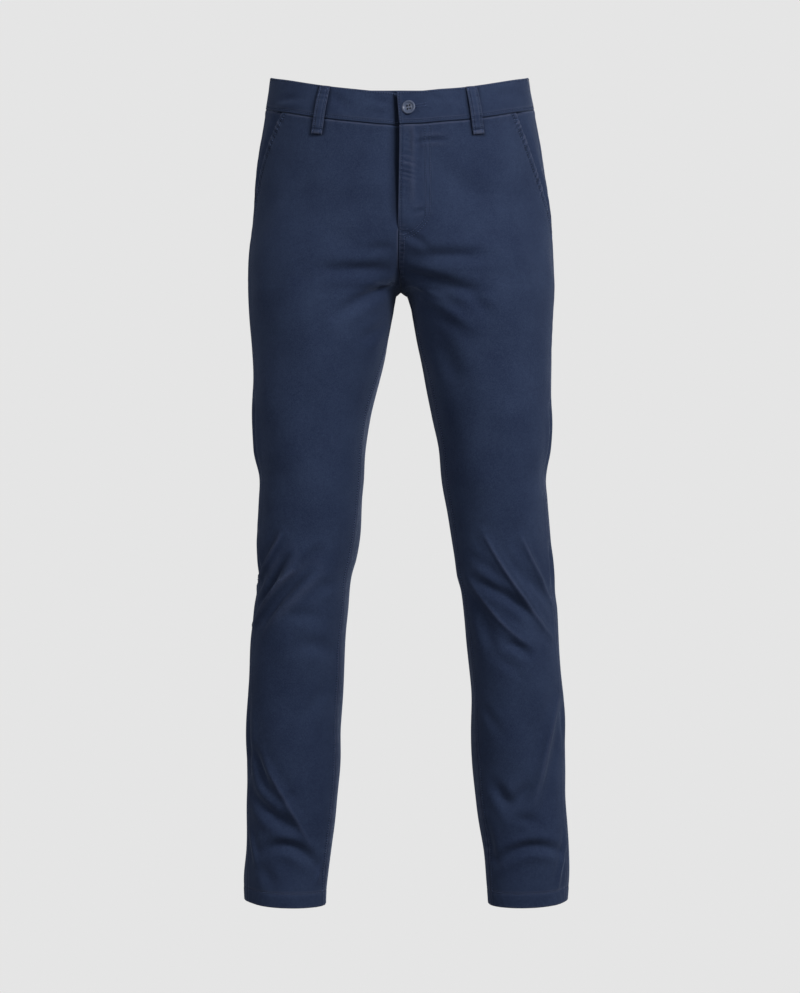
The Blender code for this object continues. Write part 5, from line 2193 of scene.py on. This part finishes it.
@dataclass
class Sewing:
    """The thread on one piece: rows of stitches, and strands that run without a break."""

    finish: Finish
    pitch: float = 3.2
    stitch: float = 1.95
    thickness: float = 0.72
    # Short dark stitches between the real ones: painted shade of the needle holes
    shade_pit: float = 1.35
    shade_pit_thickness: float = 1.05
    strand_thickness: float = 0.34
    rows: list = field(default_factory=list)
    strands: list = field(default_factory=list)

    def row(self, line: Array) -> None:
        """Adds a row of stitches along a line."""
        self.rows.append(line)

    def strand(self, line: Array) -> None:
        """Adds an unbroken strand along a line."""
        self.strands.append(line)

    def bar(self, ends: Array, outward: Array, pitch: float = 0.42, width: float = 2.1) -> None:
        """Adds a bar of close zigzag.

        Args:
            ends: Its two ends.
            outward: The cloth's outward direction.
            pitch: How far apart its threads lie.
            width: How wide it is.
        """
        run = ends[1] - ends[0]
        count = max(int(np.linalg.norm(run) / pitch), 2)
        aside = unit(np.cross(outward, run)) * width / 2
        share = np.linspace(0, 1, count)[:, None]
        sign = np.where(np.arange(count) % 2, 1, -1)[:, None]
        self.strands.append(ends[0] + run * share + aside * sign + outward * 0.15)

    @staticmethod
    def tree(title: str, sizes: dict) -> tuple:
        """A new Geometry Nodes tree from a line to meshes, with its named sizes.

        Args:
            title: Its name.
            sizes: Its inputs' names and values.

        Returns:
            The tree, its helper, its inputs' sockets and the line as a curve.
        """
        tree = bpy.data.node_groups.new(title, "GeometryNodeTree")
        face = tree.interface
        face.new_socket("Geometry", in_out="INPUT", socket_type="NodeSocketGeometry")
        for name, value in sizes.items():
            kind = "NodeSocketInt" if isinstance(value, int) else "NodeSocketFloat"
            face.new_socket(name, in_out="INPUT", socket_type=kind).default_value = value
        face.new_socket("Thread", in_out="INPUT", socket_type="NodeSocketMaterial")
        face.new_socket("Geometry", in_out="OUTPUT", socket_type="NodeSocketGeometry")
        nodes = Nodes(tree)
        given = nodes.add("NodeGroupInput").outputs
        line = nodes.add("GeometryNodeMeshToCurve", None, {"Mesh": given["Geometry"]})
        return tree, nodes, given, line.outputs["Curve"]

    @staticmethod
    def close(nodes: Nodes, geometry: NodeSocket, thread: NodeSocket) -> None:
        """Ends a tree: real meshes, smooth and in thread.

        Args:
            nodes: The tree's helper.
            geometry: What it has made.
            thread: The material.
        """
        real = nodes.add("GeometryNodeRealizeInstances", None, {"Geometry": geometry})
        smooth = nodes.add("GeometryNodeSetShadeSmooth", None, {"Geometry": real.outputs[0]})
        dressed = {"Geometry": smooth.outputs[0], "Material": thread}
        dressed = nodes.add("GeometryNodeSetMaterial", None, dressed)
        nodes.add("NodeGroupOutput", None, {"Geometry": dressed.outputs[0]})

    @classmethod
    def stitch_tree(cls) -> NodeTree:
        """The tree that lays separate stitches along a line.

        Returns:
            The tree.
        """
        found = bpy.data.node_groups.get("Stitch row")
        if found:
            return found
        sizes = {"Pitch": 0.003, "Stitch": 0.0025, "Thickness": 0.0005}
        tree, nodes, given, line = cls.tree("Stitch row", sizes | {"Unevenness": 0.12, "Seed": 5})
        spaced = {"Curve": line, "Length": given["Pitch"]}
        spaced = nodes.add("GeometryNodeResampleCurve", {"mode": "LENGTH"}, spaced)
        along = nodes.add("GeometryNodeInputTangent").outputs["Tangent"]
        turned = nodes.add("FunctionNodeAlignRotationToVector", {"axis": "Z"}, {"Vector": along})
        ball = {"Segments": 6, "Rings": 5, "Radius": 0.5}
        ball = nodes.add("GeometryNodeMeshUVSphere", None, ball)
        chance = {"Min": 1.0 - Wire(tree, given["Unevenness"]), "Max": 1.0, "Seed": given["Seed"]}
        chance = nodes.add("FunctionNodeRandomValue", {"data_type": "FLOAT"}, chance)
        length = Wire(tree, given["Stitch"]) * nodes.wire(chance, "Value")
        size = {"X": given["Thickness"], "Y": given["Thickness"], "Z": length}
        size = nodes.add("ShaderNodeCombineXYZ", None, size)
        laid = {
            "Points": spaced.outputs["Curve"],
            "Instance": ball.outputs["Mesh"],
            "Rotation": turned.outputs["Rotation"],
            "Scale": size.outputs[0],
        }
        laid = nodes.add("GeometryNodeInstanceOnPoints", None, laid)
        cls.close(nodes, laid.outputs["Instances"], given["Thread"])
        return tree

    @classmethod
    def strand_tree(cls) -> NodeTree:
        """The tree that makes a round strand along a line.

        Returns:
            The tree.
        """
        found = bpy.data.node_groups.get("Strand")
        if found:
            return found
        tree, nodes, given, line = cls.tree("Strand", {"Thickness": 0.0004})
        ring = {"Resolution": 6, "Radius": Wire(tree, given["Thickness"]) * 0.5}
        ring = nodes.add("GeometryNodeCurvePrimitiveCircle", None, ring)
        tube = {"Curve": line, "Profile Curve": ring.outputs["Curve"], "Fill Caps": True}
        tube = nodes.add("GeometryNodeCurveToMesh", None, tube)
        cls.close(nodes, tube.outputs["Mesh"], given["Thread"])
        return tree

    def grown(self, lines: list, tree: NodeTree, sizes: dict) -> Mesh:
        """The plain mesh that a tree makes of some lines.

        Args:
            lines: The lines' points, in millimetres.
            tree: The Geometry Nodes tree.
            sizes: Values of the tree's named inputs.

        Returns:
            The mesh.
        """
        points = np.concatenate(lines) * MM
        ends = np.cumsum([len(line) for line in lines])
        joined = np.arange(len(points) - 1)
        joined = joined[~np.isin(joined + 1, ends)]
        mesh = bpy.data.meshes.new("line")
        mesh.from_pydata(points.tolist(), np.stack((joined, joined + 1), -1).tolist(), [])
        drawn = linked("line", mesh)
        grown = drawn.modifiers.new(tree.name, "NODES")
        grown.node_group = tree
        sizes = sizes | {"Thread": self.finish.material()}
        for item in tree.interface.items_tree:
            if item.in_out == "INPUT" and item.name in sizes:
                grown[item.identifier] = sizes[item.name]
        return plain_mesh(drawn)

    def make(self, name: str) -> Object:
        """All the thread as one piece.

        Args:
            name: The object's name.

        Returns:
            The linked object.
        """
        body = bmesh.new()
        if self.strands:
            sizes = {"Thickness": self.strand_thickness * MM}
            body.from_mesh(self.grown(self.strands, self.strand_tree(), sizes))
        if self.rows:
            sizes = {"Stitch": self.stitch * MM, "Thickness": self.thickness * MM}
            sizes["Pitch"] = self.pitch * MM
            body.from_mesh(self.grown(self.rows, self.stitch_tree(), sizes))
        in_light = len(body.verts)
        # Dark pits between the stitches, painted shade of the needle holes
        if self.rows:
            sizes |= {"Stitch": self.shade_pit * MM, "Thickness": self.shade_pit_thickness * MM}
            between = [shortened(line, self.pitch / 2) for line in self.rows]
            body.from_mesh(self.grown(between, self.stitch_tree(), sizes))
        mesh = bpy.data.meshes.new(name)
        body.to_mesh(mesh)
        body.free()
        mesh.shade_smooth()
        shade_pit = mesh.attributes.new("shade_pit", "FLOAT", "POINT")
        shade_pit.data.foreach_set("value", (np.arange(len(mesh.vertices)) >= in_light).astype(np.float32))
        counts = len(self.rows), len(self.strands), len(mesh.polygons)
        LOG.info("%s: %d rows, %d strands, %d faces", name, *counts)
        return add_piece(name, mesh, self.finish)


@dataclass
class Studio:
    """A pale round cove with soft lights, and the camera in front."""

    floor: float = -1.4
    reach: float = 5.2
    wall: float = 3.2
    curve: float = 1.6
    camera_distance: float = 3.0
    camera_height: float = -0.5
    seen_height: float = 1.26111
    sensor: float = 36.0
    lights: tuple = (
        ("Key", (1.65, -2.1, 1.15), (0, 0, -0.35), 1.0, 70.0),
        ("Left", (-1.5, -1.7, 0.7), (0, 0, -0.15), 1.0, 12.0),
        ("Back", (0.7, 3.0, 1.1), (0, 0, -0.4), 1.4, 60.0),
        ("Right edge", (2.6, 0.5, 0.3), (0.1, 0, -0.5), 0.9, 8.0),
        ("Low", (0.6, -1.7, -1.1), (0.05, 0, -1.0), 0.6, 0.9),
    )
    air: float = 0.2

    def build_cove(self) -> None:
        """The floor, curved up into a wall all round."""
        bend = np.radians(np.linspace(0, 90, 13))
        radius = self.reach - self.curve + self.curve * np.sin(bend)
        height = self.floor + self.curve * (1 - np.cos(bend))
        line = [(0.0, self.floor), *zip(radius, height), (self.reach, self.wall)]
        mesh = turned("studio_cove", line, 96, 1e-5)
        mesh.shade_smooth()
        mesh.materials.append(StudioPaper().material())
        cove = linked("studio_cove", mesh)
        cove.visible_diffuse = cove.visible_glossy = cove.visible_shadow = False

    def build_lights(self) -> None:
        """Soft square lights, unseen themselves, and an even pale sky."""
        for name, place, target, size, power in self.lights:
            lamp = bpy.data.lights.new(name, "AREA")
            lamp.size, lamp.energy = size, power
            light = linked(name, lamp)
            light.location = place
            light.rotation_euler = (Vector(target) - Vector(place)).to_track_quat("-Z", "Y").to_euler()
            light.visible_camera = False
        world = bpy.data.worlds.new("Studio air")
        world.use_nodes = True
        air = world.node_tree.nodes["Background"]
        air.inputs["Color"].default_value = (1, 1, 1, 1)
        air.inputs["Strength"].default_value = self.air
        bpy.context.scene.world = world

    def build_camera(self) -> None:
        """The camera, level and straight in front."""
        lens = bpy.data.cameras.new("Camera")
        lens.sensor_width = self.sensor
        lens.lens = self.sensor * self.camera_distance / self.seen_height
        camera = linked("Camera", lens)
        camera.location = (0, -self.camera_distance, self.camera_height)
        camera.rotation_euler = (np.pi / 2, 0, 0)
        bpy.context.scene.camera = camera
        bpy.context.scene.view_settings.view_transform = "Standard"


@dataclass(frozen=True)
class Cut:
    """The flat cut of a piece of cloth, and how it is held."""

    width: float
    length: float
    area: float
    held: str
    rests_on: tuple


def dress_trousers(figure: Figure, drape: Drape) -> None:
    """Builds every piece of the trousers over its solid, with its stitches.

    Args:
        figure: The smooth form.
        drape: The folds over it.
    """
    twill, thread = Twill(), Thread()
    for half in Half:
        for kind in (FrontPanel, BackPanel):
            panel = kind(figure, drape, half)
            piece = panel.build().lay(twill)
            sewing = Sewing(thread)
            panel.sew(sewing)
            sewing.make(f"{panel.node}_stitches")
        PocketFacing(figure, drape, half).build().lay(twill)
    FlyShield(figure).build().lay(twill)
    band = Waistband(figure, drape)
    piece = band.build().lay(twill)
    sewing = Sewing(thread)
    band.sew(sewing)
    sewing.make("waistband_stitches")
    for loop in BELT_LOOPS:
        sewing = Sewing(thread, pitch=2.6, stitch=2.2)
        piece = loop.build(figure, sewing).lay(twill)
        sewing.make(f"{loop.node}_stitches")
    sewing = Sewing(HOLE_SHADE_THREAD, strand_thickness=2.5)
    WaistButton().build(figure, ButtonResin(), sewing)
    sewing.make("waist_button_thread")


def main() -> None:
    """Dresses the trousers, sets up the studio and notes the sizes."""
    logging.basicConfig(level=logging.INFO, format="%(name)s: %(message)s")
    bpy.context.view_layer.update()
    figure = Figure()
    dress_trousers(figure, Drape(figure))
    studio = Studio()
    studio.build_cove()
    studio.build_lights()
    studio.build_camera()


if __name__ == "__main__":
    main()
